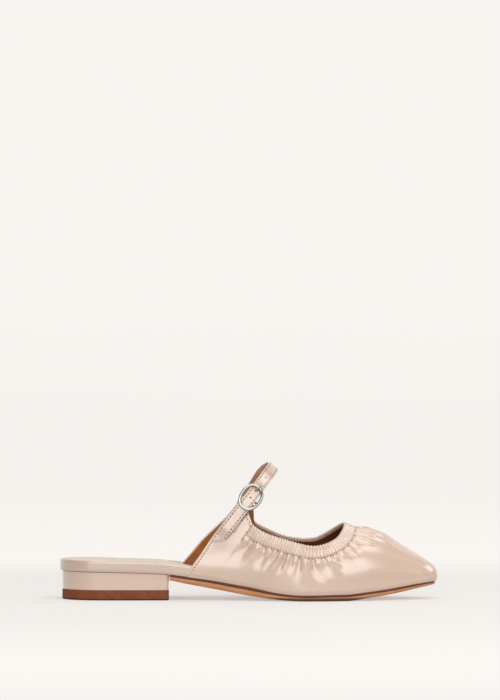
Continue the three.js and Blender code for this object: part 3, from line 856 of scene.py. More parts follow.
def nude_leather(name, marked=False, painted_shade=1.0):
    """Glazed leather, darker on its raw inside, with painted shade in its hollows and seam grooves,
    and optionally dimmed as a whole as painted shade for a part that should look less lit.
    """
    recipe = Recipe(name, Specular_IOR_Level=0.9, Coat_Roughness=0.16, Coat_IOR=1.55)
    tone = recipe.noise(26.0, 2.0)
    mottle = recipe.noise(2.2, 4.0, 0.65)
    rough = recipe.noise(1.6, 3.0) * 0.08 + 0.2
    layers = [(tone * 0.55, (182, 156, 138)), (mottle.ease(0.35, 0.8) * 0.2, (175, 147, 128))]
    if marked:
        hollow = recipe.mark("hollow")
        # painted shade: darker, redder colour in the troughs of the pleats and gathers
        layers.append((hollow * 0.5, (172, 132, 110)))
        # painted shade along the seam and band-start grooves
        layers.append((recipe.mark("seam") * 0.2, (140, 102, 82)))
        layers.append((recipe.mark("inside") * 0.85, (160, 120, 96)))
        rough = rough + hollow * 0.12
    base = recipe.layered((188, 163, 145), *layers)
    # painted shade: dims the whole colour so the part looks less lit
    if painted_shade < 1.0:
        base = recipe.blend(1.0, base, (painted_shade,) * 3, "MULTIPLY")
    grain = leather_grain(recipe, 0.55, 0.05)
    return recipe.finish(
        Base_Color=base, Roughness=rough, Coat_Weight=mottle * 0.2 + 0.75, Normal=grain
    )


def caramel_lining():
    """Warm lining leather with painted shade that darkens it towards the closed forepart."""
    recipe = Recipe("caramel_lining", Specular_IOR_Level=0.1)
    tone = recipe.noise(12.0, 3.0)
    grain = recipe.noise(0.7, 4.0, 0.7)
    base = recipe.layered(
        (146, 88, 50),
        (tone.ease(0.3, 0.75), (132, 77, 43)),
        (grain.ease(0.55, 0.75) * 0.35, (108, 64, 37)),
        # painted shade: the lining darkens towards the toe, where the vamp shuts out the light
        (recipe.axis("X").ease(-20.0, 45.0) * 0.8, (58, 25, 9)),
    )
    relief = leather_grain(recipe, 0.8, 0.07)
    return recipe.finish(Base_Color=base, Roughness=grain * 0.15 + 0.65, Normal=relief)


def sock_leather():
    recipe = Recipe("sock_leather", Specular_IOR_Level=0.35)
    tone = recipe.noise(30.0, 2.0)
    worn = recipe.noise(5.0, 4.0, 0.6)
    base = recipe.layered(
        (201, 188, 173), (tone, (193, 179, 163)), (worn.ease(0.5, 0.8) * 0.25, (184, 171, 153))
    )
    relief = leather_grain(recipe, 0.7, 0.05)
    return recipe.finish(Base_Color=base, Roughness=worn * 0.2 + 0.42, Normal=relief)


def sole_leather():
    """A dark band over a tan edge, partly the edge's dye and partly painted shade of the recess
    under the upper, and a paler brushed underside, with painted contact shade near the floor.
    """
    recipe = Recipe("sole_leather", Specular_IOR_Level=0.25)
    streak = recipe.noise(1.4, 4.0, 0.7, (0.12, 0.12, 1.6))
    streaky = streak.ease(0.35, 0.75)
    tan = recipe.layered((173, 121, 81), (streaky, (151, 99, 64)))
    dark = recipe.layered((92, 48, 28), (streaky, (78, 40, 23)))
    # the dark band is partly the edge's dye and partly painted shade of the recess under the upper
    edge = recipe.blend(recipe.mark("band").ease(0.45, 0.55), tan, dark)
    brushed = recipe.noise(1.1, 5.0, 0.7, (0.15, 1.0, 1.0))
    scuffed = recipe.noise(10.0, 5.0, 0.7).ease(0.52, 0.7)
    under = recipe.layered(
        (190, 146, 108), (brushed.ease(0.3, 0.75), (166, 122, 86)), (scuffed * 0.4, (140, 104, 76))
    )
    underside = recipe.mark("underside")
    base = recipe.blend(underside, edge, under)
    # painted contact shade: darker within 3 mm of the floor
    base = recipe.blend(recipe.axis("Z").ease(3.0, 1.5) * 0.92, base, srgb(62, 34, 22))
    rough = streak * 0.15 + underside * 0.2 + 0.3
    grain = recipe.bump(brushed, 0.05, 0.5, recipe.bump(streak, 0.08, 0.5))
    return recipe.finish(Base_Color=base, Roughness=rough, Normal=grain)


def heel_rubber():
    recipe = Recipe("top_piece_rubber", Specular_IOR_Level=0.12)
    speck = recipe.noise(0.5, 3.0, 0.7)
    base = recipe.layered(
        (113, 64, 37),
        (recipe.noise(6.0, 3.0).ease(0.3, 0.75), (100, 55, 32)),
        (speck.ease(0.58, 0.75) * 0.3, (78, 44, 27)),
        # painted shadow: the bottom 1.3 mm goes nearly black for the shadow gap under the top piece
        (recipe.axis("Z").ease(1.3, 0.6) * 0.85, (34, 18, 11)),
    )
    relief = recipe.bump(speck, 0.05, 0.6)
    return recipe.finish(Base_Color=base, Roughness=speck * 0.2 + 0.55, Normal=relief)


def buckle_metal():
    recipe = Recipe("buckle_metal", Metallic=1.0)
    scratch = recipe.noise(0.35, 3.0, 0.6, (0.2, 1.0, 1.0))
    base = recipe.layered((176, 175, 172), (recipe.noise(3.0, 3.0), (156, 154, 151)))
    rough = scratch.ease(0.5, 0.8) * 0.1 + 0.12
    relief = recipe.bump(scratch, 0.01, 0.4)
    return recipe.finish(Base_Color=base, Roughness=rough, Normal=relief)


def sewing_thread():
    recipe = Recipe("sewing_thread", Specular_IOR_Level=0.3)
    twist = recipe.noise(0.25, 2.0)
    base = recipe.layered((224, 200, 184), (twist, (200, 172, 152)))
    relief = recipe.bump(twist, 0.05, 0.6)
    return recipe.finish(Base_Color=base, Roughness=twist * 0.2 + 0.55, Normal=relief)


def needle_hole():
    # dark beads between the stitches, painted shade of the needle holes
    recipe = Recipe("needle_hole", Specular_IOR_Level=0.1)
    speck = recipe.noise(0.3, 2.0)
    base = recipe.layered((96, 62, 44), (speck, (70, 44, 32)))
    return recipe.finish(Base_Color=base, Roughness=speck * 0.1 + 0.8)


def pale_floor():
    """Paper that gives off some light of its own far from the shoe, so that it stays even."""
    recipe = Recipe("pale_floor", Specular_IOR_Level=0.1, Emission_Strength=1.0)
    cloud = recipe.noise(500.0, 1.0)
    length = {"operation": "LENGTH"}
    reach = recipe.get("ShaderNodeVectorMath", length, {0: recipe.place()}, output=1)
    far = reach.ease(220.0, 700.0)
    base = recipe.blend(far, (0.33, 0.319, 0.31), (0.09, 0.087, 0.084))
    height = recipe.axis("Z").ease(50.0, 300.0)
    paper = recipe.blend(height, (0.825, 0.793, 0.767), (0.86, 0.827, 0.8))
    glow = recipe.blend(far, (0.44, 0.424, 0.41), paper)
    front = recipe.axis("Y").ease(-500.0, -1000.0)
    glow = recipe.blend(front, glow, (0.73, 0.705, 0.68))
    glow = recipe.blend(cloud * 0.02, glow, (0.7, 0.67, 0.64))
    return recipe.finish(Base_Color=base, Emission_Color=glow, Roughness=cloud * 0.05 + 0.8)


# Upper

ROWS = 56
FINE_ROWS = 20
FINE_STEP = 0.55
WRAP_ROWS = 4
INNER_ROWS = (0, 1, 2, 3, 4, 6, 8, 10, 12, 14, 16, 20, 26, 34, 44, 56)
LINING_ROWS = (0.5, 1.9, 3.2, 4.3, 5.5, 7.5, 10.0, 13.5, 17.0, 22.0, 29.0, 38.0, 50.0, 64.0)
REAR_PITCH = 0.8
EAR_PITCH = 0.5
TOPLINE_PITCH = 0.3
FEET_WINDOW = 7
ROLLED_TIP = LENGTH - TOE_ROUND + TOE_ROUND * math.pi / 2


def skin(length, share):
    """Points of the last's skin: share runs from -1 at the lateral feather line over the ridge
    at 0 to 1 at the medial one."""
    side = np.where(share < 0, -1.0, 1.0)
    x = rolled(length)
    turn = (1 - np.abs(share)) * math.pi / 2
    low, high = last_heights(x)
    z = low + (high - low) * np.sin(turn) ** (2 / LAST["square"](x / LENGTH))
    return np.stack([x, side * last_reach(x, side, turn), z], axis=-1)


def skin_share(length, across):
    side = np.where(across < 0, -1.0, 1.0)
    return np.clip(across / np.maximum(half_width(rolled(length), side), 1e-6), -1, 1)


def skin_normals(length, share):
    step = 0.004
    here = np.minimum(length, ROLLED_TIP - 0.3)
    along = skin(here + 0.15, share) - skin(here - 0.15, share)
    middle = np.clip(share, step - 1, 1 - step)
    over = skin(here, middle + step) - skin(here, middle - step)
    normals = np.cross(along, over)
    return normals / np.maximum(np.linalg.norm(normals, axis=-1, keepdims=True), 1e-9)


def mapped_skin(places):
    """Points of the last's skin at places of its map."""
    return skin(places[..., 0], skin_share(places[..., 0], places[..., 1]))


def thread_feet(text):
    rows = read_rows(text)
    feet = np.array([row["foot"] for row in rows]) * LENGTH
    return curve_through([row["share"] for row in rows], unrolled(feet))


def quarter_threads(side):
    """Threads of the upper's grid on one side, from the rear of the quarter to the throat: where
    each starts on the edge and ends on the feather line, both on the last's map, with the topline
    and the number of threads along the rear edge."""
    edge, corner, ear = quarter_edge(side)
    solid = mapped_skin(edge)
    run = lengths_along(solid)
    start, end, whole = run[corner], run[ear], run[-1]
    rear = np.arange(0, start, REAR_PITCH)
    over = np.arange(start, end, EAR_PITCH)
    top = np.linspace(end, whole, int((whole - end) / TOPLINE_PITCH) + 1)
    places = np.concatenate([rear, over, top])
    starts = np.stack([np.interp(places, run, edge[:, i]) for i in (0, 1)])
    back = thread_feet(LATERAL_REAR_FEET if side < 0 else MEDIAL_REAR_FEET)
    front = thread_feet(TOPLINE_FEET)
    middle = np.interp(over, [start, end], [back(1.0), front(0.0)])
    feet = np.concatenate([back(rear / start), middle, front((top - end) / (whole - end))])
    padded = np.pad(feet, FEET_WINDOW, mode="reflect", reflect_type="odd")
    count = 2 * FEET_WINDOW + 1
    soft = np.convolve(padded, np.ones(count) / count, "valid")
    soft[-1] = ROLLED_TIP
    across = side * half_width(rolled(soft), side)
    rear_count = int(start / REAR_PITCH) + 1
    return starts.T, np.stack([soft, across], axis=1), solid[ear:], rear_count


def lay_threads(starts, feet):
    """Length and across on the map, and distance from the edge, at each row of each thread."""
    t = np.linspace(0, 1, 90)
    lines = starts[:, None] * (1 - t)[None, :, None] + feet[:, None] * t[None, :, None]
    steps = np.linalg.norm(np.diff(mapped_skin(lines), axis=1), axis=-1)
    run = np.concatenate([np.zeros((len(starts), 1)), np.cumsum(steps, axis=1)], axis=1)
    reach = run[:, -1:]
    fine = FINE_STEP * np.arange(FINE_ROWS + 1) * np.minimum(1, reach / (2 * FINE_STEP * FINE_ROWS))
    rest = np.linspace(0, 1, ROWS - FINE_ROWS + 1)[1:]
    away = np.hstack([fine, fine[:, -1:] + (reach - fine[:, -1:]) * rest])
    place = np.stack([np.interp(away[i], run[i], t) for i in range(len(starts))])
    mapped = starts[:, None] * (1 - place)[..., None] + feet[:, None] * place[..., None]
    return mapped[..., 0], mapped[..., 1], away


def nearest(samples, points):
    """Distance to the nearest of the samples, and its number."""
    tree = KDTree(len(samples))
    for i, sample in enumerate(samples):
        tree.insert(sample, i)
    tree.balance()
    found = [tree.find(point)[1:] for point in points]
    return np.array([f[1] for f in found]), np.array([f[0] for f in found])


class Pleats:
    """Uneven pleats of the band: their place along it and how strong each is."""

    def __init__(self, length, seed=7):
        maker = random.Random(seed)
        marks, strengths = [0.0], [1.0]
        while marks[-1] < length:
            marks.append(marks[-1] + maker.uniform(*PLEAT_SPACING))
            strengths.append(maker.uniform(*PLEAT_STRENGTH))
        self.marks, self.strengths = np.array(marks), np.array(strengths)
        self.waver = Patchwork(seed)

    def relief(self, along, away):
        bent = along + PLEAT_WAVER * self.waver(along / 5.0, away / 4.0)
        phase = np.interp(bent, self.marks, np.arange(len(self.marks)))
        strength = np.interp(bent, self.marks, self.strengths)
        return strength * (np.abs(np.sin(math.pi * phase)) ** 0.8 - 0.5)


class Surroundings:
    """What each point of the upper lies beside: its distance from the topline and from the rear
    edges, its place along the topline and the cover of the band."""

    def __init__(self, points, topline, rear_edges):
        self.lateral_run = lengths_along(topline[0])[-1]
        line = evenly(np.vstack([topline[0], topline[1][::-1]]), 0.12)
        run = lengths_along(line)
        self.length = run[-1]
        self.away, index = nearest(line, points)
        self.along = run[index]
        self.rear = np.minimum(*(nearest(evenly(edge, 0.3), points)[0] for edge in rear_edges))
        lean = math.radians(BAND_START["lean"])
        x = BAND_START["at"] * LENGTH
        z = seat(x) + BAND_START["up"] * INSTEP_HEIGHT
        self.ahead = (points[:, 0] - x) * math.cos(lean) - (points[:, 2] - z) * math.sin(lean)
        self.band = smoothstep(self.ahead, -BAND_FADE / 2, BAND_FADE / 2)


def gather_relief(around):
    """Soft troughs and ridges that run down from the band, placed one by one."""
    total = np.zeros(len(around.away))
    below = around.away - BAND_WIDTH
    for row in read_rows(GATHERS):
        side = row["side"]
        run = around.lateral_run if side < 0 else around.length - around.lateral_run
        start = row["share"] * run if side < 0 else around.length - row["share"] * run
        t = np.clip(below / row["reach"], 0, 1)
        centre = start - side * row["swing"] * t
        width = row["width"] * (1 + 0.5 * t)
        off = (around.along - centre) / width
        ridge = bell(off, 0.85) - 0.6 * bell(off - 1.5, 0.6) - 0.6 * bell(off + 1.5, 0.6)
        fade = smoothstep(below, -0.6, 1.0) * (1 - smoothstep(t, 0.12, 1.0))
        total += row["depth"] * fade * ridge
    return total * around.band


def upper_relief(points, around):
    """Height of the leather over the last, and how much painted shade its crease hollows and its
    seam grooves take, at each point.
    """
    away, band = around.away, around.band
    pleats = Pleats(around.length).relief(around.along, away)
    on_band = band * (1 - smoothstep(away, BAND_WIDTH - 0.9, BAND_WIDTH + 0.2))
    crown = np.sqrt(np.clip(1 - ((away - 3.7) / 4.6) ** 2, 0, 1))
    throat = around.along - around.lateral_run
    bulge = 0.45 - 0.5 * bell(throat, 14.0)
    depth = 1 + 0.6 * bell(throat, 14.0)
    raised = BAND_RAISE * (1.5 - 0.5 * depth - bell(throat, 12.0) * 0.7)
    relief = on_band * (raised * crown + 0.85 * depth * pleats * (0.55 + 0.45 * crown))
    past = away - BAND_WIDTH
    seam = band * bell(past, 0.6) * (1 - 0.8 * bell(throat, 18.0))
    below = band * smoothstep(past, -0.2, 0.5)
    pucker = below * np.exp(-np.clip(past, 0, None) / (3.2 + 4.0 * bell(throat, 16.0)))
    relief += (0.5 + 0.35 * bell(throat, 16.0)) * pucker * pleats - 0.25 * seam
    relief += bulge * band * bell(past - 3.0, 2.5)
    gathers = gather_relief(around)
    relief += gathers * (1 - 0.5 * bell(throat, 8.0))
    relief -= 0.9 * band * bell(throat, 13.0) * bell(past - 2.5, 5.0)
    start = (1 - smoothstep(np.abs(around.ahead), 0.2, 0.9)) * (away < BAND_WIDTH + 0.6)
    ear = (1 - band) * bell(away - 2.6, 0.35)
    rear = bell(around.rear - EDGE_SEAM, 0.35)
    relief -= SEAM_GROOVE * (ear + rear) + START_GROOVE * start
    folded = 1 - smoothstep(np.minimum(around.rear, away + 6 * band), 0.6, 2.0)
    relief += folded * HEM_FOLD
    quarter = smoothstep(points[:, 0], 86, 102) * (1 - smoothstep(points[:, 0], 138, 166))
    relief += QUARTER_ROLL * quarter * bell(points[:, 2] - 21.0, 7.5)
    x, y, z = points.T
    relief += LUMPS * Patchwork(3)(x / 11 + 7, z / 8 + y / 9 + 20) * (1 - on_band)
    # mask for painted shade in the troughs of the pleats and gathers
    hollow = np.clip(-pleats * on_band * 1.3 + 0.8 * pucker * -pleats, 0, 1)
    hollow = np.clip(hollow + np.clip(-gathers, 0, 1) * 0.9, 0, 1)
    # the third value is the mask for painted shade in the seam and band-start grooves
    return relief, hollow, np.clip(seam + 0.5 * start, 0, 1), band * np.clip(pleats + 0.4, 0, 1)


class Upper:
    """Grid of the upper: columns run from its edge to the feather line."""

    def __init__(self):
        lateral, lateral_feet, lateral_top, lateral_rear = quarter_threads(-1)
        medial, medial_feet, medial_top, medial_rear = quarter_threads(1)
        starts = np.vstack([lateral, medial[::-1][1:]])
        feet = np.vstack([lateral_feet, medial_feet[::-1][1:]])
        self.length, self.across, self.away = lay_threads(starts, feet)
        share = skin_share(self.length, self.across)
        self.base = skin(self.length, share)
        self.normals = skin_normals(self.length, share)
        self.columns = len(starts)
        self.lateral_columns = len(lateral)
        rear = (self.base[:lateral_rear, 0], self.base[-medial_rear:, 0])
        flat = self.base.reshape(-1, 3)
        self.around = Surroundings(flat, (lateral_top, medial_top), rear)
        shape = self.base.shape[:2]
        marks = upper_relief(flat, self.around)
        self.relief, self.hollow, self.seam, self.pleats = (v.reshape(shape) for v in marks)
        self.hem = REAR_HEM + (TOP_HEM - REAR_HEM) * self.view("band")[:, :1]
        self.tuck()

    def tuck(self):
        """Turns the leather's foot in under itself, down to the sole."""
        x = self.base[..., 0]
        height = self.base[..., 2] - seat(x) - PIECE_GAP
        low = 1 - smoothstep(height, 0.0, TUCK_HEIGHT)
        self.relief = self.relief - TUCK * low
        self.base = self.base.copy()
        self.base[..., 2] -= FOOT_DROP * low

    def view(self, name):
        """One measure of the surroundings as a grid."""
        return getattr(self.around, name).reshape(self.base.shape[:2])

    def outer(self):
        return self.base + self.normals * self.relief[..., None]

    def build(self, material):
        outer = self.outer()
        edge_run = outer[:, 2] - outer[:, 0]
        edge_run[:3], edge_run[-3:] = edge_run[3], edge_run[-4]
        edge_run /= np.maximum(np.linalg.norm(edge_run, axis=1, keepdims=True), 1e-9)
        lip = 1 - smoothstep(self.away, self.hem - 1.0, self.hem)
        inner_relief = np.minimum(-LEATHER - 0.5 * self.pleats * lip, self.relief - 0.5)
        inner = (self.base + self.normals * inner_relief[..., None])[:, INNER_ROWS]
        top, bottom = self.relief[:, :1], inner_relief[:, :1]
        middle, radius = (top + bottom) / 2, (top - bottom) / 2
        scallop = radius + SCALLOP * (self.pleats[:, :1] - 0.4 * self.hem / TOP_HEM)
        wraps = []
        for angle in math.pi * np.arange(WRAP_ROWS, 0, -1) / (WRAP_ROWS + 1):
            lift = middle + radius * math.cos(angle)
            out = scallop * math.sin(angle)
            wraps.append(self.base[:, 0] + self.normals[:, 0] * lift - edge_run * out)
        points = np.concatenate([inner[:, ::-1], np.stack(wraps, axis=1), outer], axis=1)

        def whole(inner_values, outer_values):
            backwards = inner_values[:, INNER_ROWS][:, ::-1]
            return np.hstack([backwards, np.zeros((self.columns, WRAP_ROWS)), outer_values])

        throat = self.view("along")[:, :1] - self.around.lateral_run
        edge = 1 - smoothstep(whole(self.away, self.away), 0, 5)
        points += edge_run[:, None] * (THROAT_PULL * bell(throat, 12.0) * edge)[..., None]
        bare = np.zeros(self.away.shape)
        piece = make_shell(
            "upper_leather",
            points,
            0.02,
            # masks for painted shade in the crease hollows and seam grooves
            hollow=whole(bare, self.hollow),
            seam=whole(bare, self.seam),
            inside=whole(self.away > self.hem, bare),
        )
        return dressed(piece, material, "upper_leather", "upper")

    def build_lining(self, material):
        columns = np.unique(np.append(np.arange(0, self.columns, 3), self.columns - 1))
        rings = []
        for i in columns:
            reach = self.away[i, -1]
            at = np.clip([*LINING_ROWS, reach], min(self.hem[i, 0], reach), reach)
            line = [
                np.stack([np.interp(at, self.away[i], values[:, k]) for k in range(3)], axis=1)
                for values in (self.base[i], self.normals[i])
            ]
            face = line[0] - line[1] * (LEATHER + LINING)
            back = line[0] - line[1] * (LEATHER + 0.04)
            rings.append(np.vstack([face[::-1], back]))
        piece = make_shell("upper_lining", np.array(rings), 0.02)
        return dressed(piece, material, "upper_leather", "upper")

    def level_line(self, values, level, columns):
        """Where a value first passes a level, down each of some columns."""
        outer, points, normals = self.outer(), [], []
        for i in columns:
            over = np.nonzero(values[i] >= level)[0]
            if len(over) == 0 or over[0] == 0:
                continue
            k = over[0]
            t = (level - values[i, k - 1]) / (values[i, k] - values[i, k - 1])
            points.append(outer[i, k - 1] * (1 - t) + outer[i, k] * t)
            normals.append(self.normals[i, k])
        return np.array(points), np.array(normals)


# Strap and buckle

LIFT = columns(LIFT_ROWS)
HOOP_LOW = np.array([STRAP_END["at"] * LENGTH, 0.0])
HOOP_LOW[1] = seat(HOOP_LOW[0]) + STRAP_END["up"] * INSTEP_HEIGHT
HOOP_TOP = np.array([STRAP_CROWN * LENGTH, last_heights(STRAP_CROWN * LENGTH)[1]])
HOOP_UP = (HOOP_TOP - HOOP_LOW) / np.linalg.norm(HOOP_TOP - HOOP_LOW)


def hoop_height(across, grow):
    """From the strap's lateral end to the ridge, in the plane of the hoop."""
    across, grow = np.broadcast_arrays(np.asarray(across, float), np.asarray(grow, float))
    near = np.zeros(across.shape)
    far = np.full(across.shape, 2 * np.linalg.norm(HOOP_TOP - HOOP_LOW))
    for _ in range(40):
        middle = (near + far) / 2
        x = HOOP_LOW[0] + HOOP_UP[0] * middle + HOOP_UP[1] * across
        z = HOOP_LOW[1] + HOOP_UP[1] * middle - HOOP_UP[0] * across
        under = z < last_heights(x, grow)[1]
        near, far = np.where(under, middle, near), np.where(under, far, middle)
    return near


def hoop_point(turn, across, grow):
    turn, across, grow = np.broadcast_arrays(*(np.asarray(v, float) for v in (turn, across, grow)))
    aside = across - STRAP_SWAY * LIFT["sway"](turn)
    rise = hoop_height(aside, grow) * np.cos(turn * math.pi / 2)
    x = HOOP_LOW[0] + HOOP_UP[0] * rise + HOOP_UP[1] * aside
    z = HOOP_LOW[1] + HOOP_UP[1] * rise - HOOP_UP[0] * aside
    side = np.where(turn < 0, -1.0, 1.0)
    reach = last_reach(x, side, turn_at_height(x, z, grow), grow)
    return np.stack([x, side * reach, z], axis=-1)


BAR_OFF = PIECE_GAP + TAB_THICKNESS + PIECE_GAP + BAR_WIRE / 2
FRAME_OFF = BAR_OFF + BAR_WIRE / 2 + STRAP_THICKNESS + 2 * PIECE_GAP + FRAME_WIRE / 2 + 0.15


def strap_lift(turn):
    stack = TAB_THICKNESS + BAR_WIRE + 2 * PIECE_GAP
    return PIECE_GAP + stack * LIFT["stack"](turn) + LIFT["loose"](turn)


def buckle_turn(ahead, grow=FRAME_OFF):
    """Turn of a place so many millimetres ahead of the buckle's bar, at a height over the last."""
    step = hoop_point(BUCKLE_TURN + 0.01, 0, grow) - hoop_point(BUCKLE_TURN, 0, grow)
    return BUCKLE_TURN + 0.01 * ahead / np.linalg.norm(step)


def strap_start(across):
    """Turn at which the strap's free end is cut, level with the floor, with its rear corner off."""
    half = STRAP_WIDTH / 2
    end = HOOP_LOW[1] - STRAP_END_DROP + 0.8 * np.clip(STRAP_CHAMFER - half - across, 0, None)
    end = end + 0.5 * np.clip(across - half + 1.0, 0, None) ** 2
    rise = (end - HOOP_LOW[1] + HOOP_UP[0] * across) / HOOP_UP[1]
    return -np.arccos(rise / hoop_height(across, strap_lift(-1.0))) / (math.pi / 2)


def strap_turns(across, count, full=-0.9):
    """Turns of the strap's rings: slanted like its cut end at first, and level from full on."""
    start = strap_start(across)
    first = start + (full - start) * np.linspace(0, 1, 14)[:-1, None]
    shared = np.linspace(full, STRAP_MEDIAL_TURN, count)[:, None] + 0 * across
    return np.concatenate([first, shared])


def rounded_section(half, thickness, corner, columns_across):
    """Ring of across and height pairs round a strap of half a width."""
    flat = np.linspace(corner - half, half - corner, columns_across)
    arc = np.linspace(0, math.pi / 2, 5)[1:]
    across = np.concatenate([flat, half - corner + corner * np.sin(arc)])
    height = np.concatenate([0 * flat + thickness, thickness - corner + corner * np.cos(arc)])
    return np.concatenate([across, -across]), np.concatenate([height, thickness - height])


def make_strap(material):
    half = STRAP_WIDTH / 2
    across, height = rounded_section(half, STRAP_THICKNESS, STRAP_CORNER, 29)
    turns = strap_turns(across, 210)
    outer = smoothstep(height, 0.5, 1.2)
    from_seam = np.abs(across) - (half - STRAP_SEAM)
    relief = (0.14 * (1 - (across / half) ** 4) - 0.2 * bell(from_seam, 0.32)) * outer
    points = hoop_point(turns, across[None, :], strap_lift(turns) + height + relief)
    ends = []
    for first, second in ((0, 1), (-1, -2)):
        middle = points[first].mean(axis=0)
        out = points[first] - points[second]
        out = 0.12 * out / np.linalg.norm(out.mean(axis=0))
        ends.append(middle + (points[first] - middle) * 0.965 + out)
    piece = make_shell(
        "instep_strap",
        np.concatenate([[ends[0]], points, [ends[1]]]),
        0.005,
        hollow=0.0,
        # painted shade along the grooves of the strap's stitch rows
        seam=bell(from_seam, 0.35) * outer * 0.5,
        inside=1.0 - smoothstep(height, 0.1, 0.5),
    )
    punch(piece, [PRONG_SLOT, *((ahead, EYELET, EYELET) for ahead in EYELETS)])
    return dressed(piece, material, "upper_leather", "strap")


def punch(piece, holes):
    """Cuts holes through the strap: each is a distance ahead of the buckle's bar, its length and
    its width."""
    work = bmesh.new()
    for ahead, long, wide in holes:
        turn = buckle_turn(ahead)
        lift = strap_lift(turn)
        centre = hoop_point(turn, 0, lift)
        out = hoop_point(turn, 0, lift + 1) - centre
        run = hoop_point(turn + 0.01, 0, lift) - centre
        out, run = Vector(out).normalized(), Vector(run).normalized()
        side = out.cross(run).normalized()
        run = side.cross(out)
        basis = Matrix((run, side, out)).transposed().to_4x4()
        place = Matrix.Translation(Vector(to_frame(centre))) @ basis
        made = bmesh.ops.create_cone(
            work, cap_ends=True, segments=28, radius1=0.5 * MM, radius2=0.5 * MM, depth=4 * MM
        )
        stretch = Matrix.Diagonal((long, wide, 1.0, 1.0))
        bmesh.ops.transform(work, matrix=place @ stretch, verts=made["verts"])
    mesh = bpy.data.meshes.new("hole_cutter")
    work.to_mesh(mesh)
    work.free()
    cutter = add_object("hole_cutter", mesh)
    cut = piece.modifiers.new("holes", "BOOLEAN")
    cut.operation, cut.solver, cut.object = "DIFFERENCE", "EXACT", cutter
    settle(piece)
    bpy.data.objects.remove(cutter)
    piece.data.set_sharp_from_angle(angle=math.radians(50))


def settle(piece):
    """Turns what a piece's modifiers make into its own mesh."""
    bpy.context.view_layer.update()
    seen = piece.evaluated_get(bpy.context.evaluated_depsgraph_get())
    made = bpy.data.meshes.new_from_object(seen)
    made.name = piece.name
    piece.modifiers.clear()
    piece.data = made


def make_tab(material):
    """Tab that holds the buckle, thinned out where its foot shows beside the strap."""
    top = buckle_turn(2 * BAR_WIRE, 0)
    foot = buckle_turn(2 * BAR_WIRE - TAB_LENGTH, 0)
    along = np.linspace(0, 1, 70)[:, None]
    over = np.linspace(0, 1, 26)[None, :]
    turn = foot + (top - foot) * along + 0 * over
    width = STRAP_WIDTH + TAB_OVERHANG * (1 - along) ** 2
    across = -0.5 * STRAP_WIDTH + width * over
    rim = np.minimum(np.minimum(over, 1 - over) * width, along * TAB_LENGTH + 0 * over)
    body = smoothstep(rim, 0.0, 0.7 + 1.5 * (1 - smoothstep(along, 0.2, 0.8)))
    thick = TAB_THICKNESS * body * (0.45 + 0.55 * smoothstep(along, 0, 0.4))
    outer = hoop_point(turn, across, 0.16 + (PIECE_GAP - 0.16) * body + thick)
    inner = hoop_point(turn, across, np.full(turn.shape, 0.12))
    points = np.concatenate([outer, inner[:, ::-1]], axis=1)
    piece = make_shell("buckle_tab_leather", points, 0.005, **UNMARKED)
    return dressed(piece, material, "upper_leather", "buckle_tab")


def path_mesh(name, kept, paths):
    """Lines of points as edges: each path is its points, the radius or the direction out of the
    surface that is kept on them, and whether it closes."""
    wide = 3 if kept == "out" else 1
    points, edges, values = [], [], []
    for line, value, closed in paths:
        start, count = len(points), len(line)
        points.extend(to_frame(line).tolist())
        edges.extend((start + i, start + i + 1) for i in range(count - 1))
        if closed:
            edges.append((start + count - 1, start))
        values.append(np.broadcast_to(np.reshape(value, (-1, wide)), (count, wide)))
    mesh = bpy.data.meshes.new(name)
    mesh.from_pydata(points, edges, [])
    layer = mesh.attributes.new(kept, "FLOAT_VECTOR" if wide == 3 else "FLOAT", "POINT")
    layer.data.foreach_set("vector" if wide == 3 else "value", np.concatenate(values).ravel())
    return add_object(name, mesh)


class Tree:
    """A Geometry Nodes tree with named inputs."""

    def __init__(self, name, **inputs):
        self.tree = bpy.data.node_groups.new(name, "GeometryNodeTree")
        self.socket("Geometry", "OUTPUT", "Geometry")
        self.socket("Geometry", "INPUT", "Geometry")
        inputs["Material"] = "Material"
        self.inputs = {key: self.socket(key, "INPUT", kind) for key, kind in inputs.items()}
        self.start = self.tree.nodes.new("NodeGroupInput")
        self.end = self.tree.nodes.new("NodeGroupOutput")

    def socket(self, name, way, kind):
        made = self.tree.interface.new_socket(name, in_out=way, socket_type="NodeSocket" + kind)
        return made.identifier

    def given(self, name):
        return self.start.outputs[name]

    def out(self, kind, settings, **sockets):
        """First output of a new node; a socket's name has _ for its space, and V0 is its first."""
        node = self.tree.nodes.new(kind)
        for key, value in settings.items():
            setattr(node, key, value)
        for key, value in sockets.items():
            socket = node.inputs[0 if key == "V0" else key.replace("_", " ")]
            if isinstance(value, bpy.types.NodeSocket):
                self.tree.links.new(value, socket)
            else:
                socket.default_value = value
        return node.outputs[0]

    def finish(self, geometry):
        real = self.out("GeometryNodeRealizeInstances", {}, Geometry=geometry)
        material = self.given("Material")
        dyed = self.out("GeometryNodeSetMaterial", {}, Geometry=real, Material=material)
        self.tree.links.new(dyed, self.end.inputs[0])
        return self

    def grow(self, piece, **values):
        """Runs the tree on a piece and keeps the result as its mesh."""
        step = piece.modifiers.new(self.tree.name, "NODES")
        step.node_group = self.tree
        for key, value in values.items():
            step[self.inputs[key]] = value
        settle(piece)
        return piece


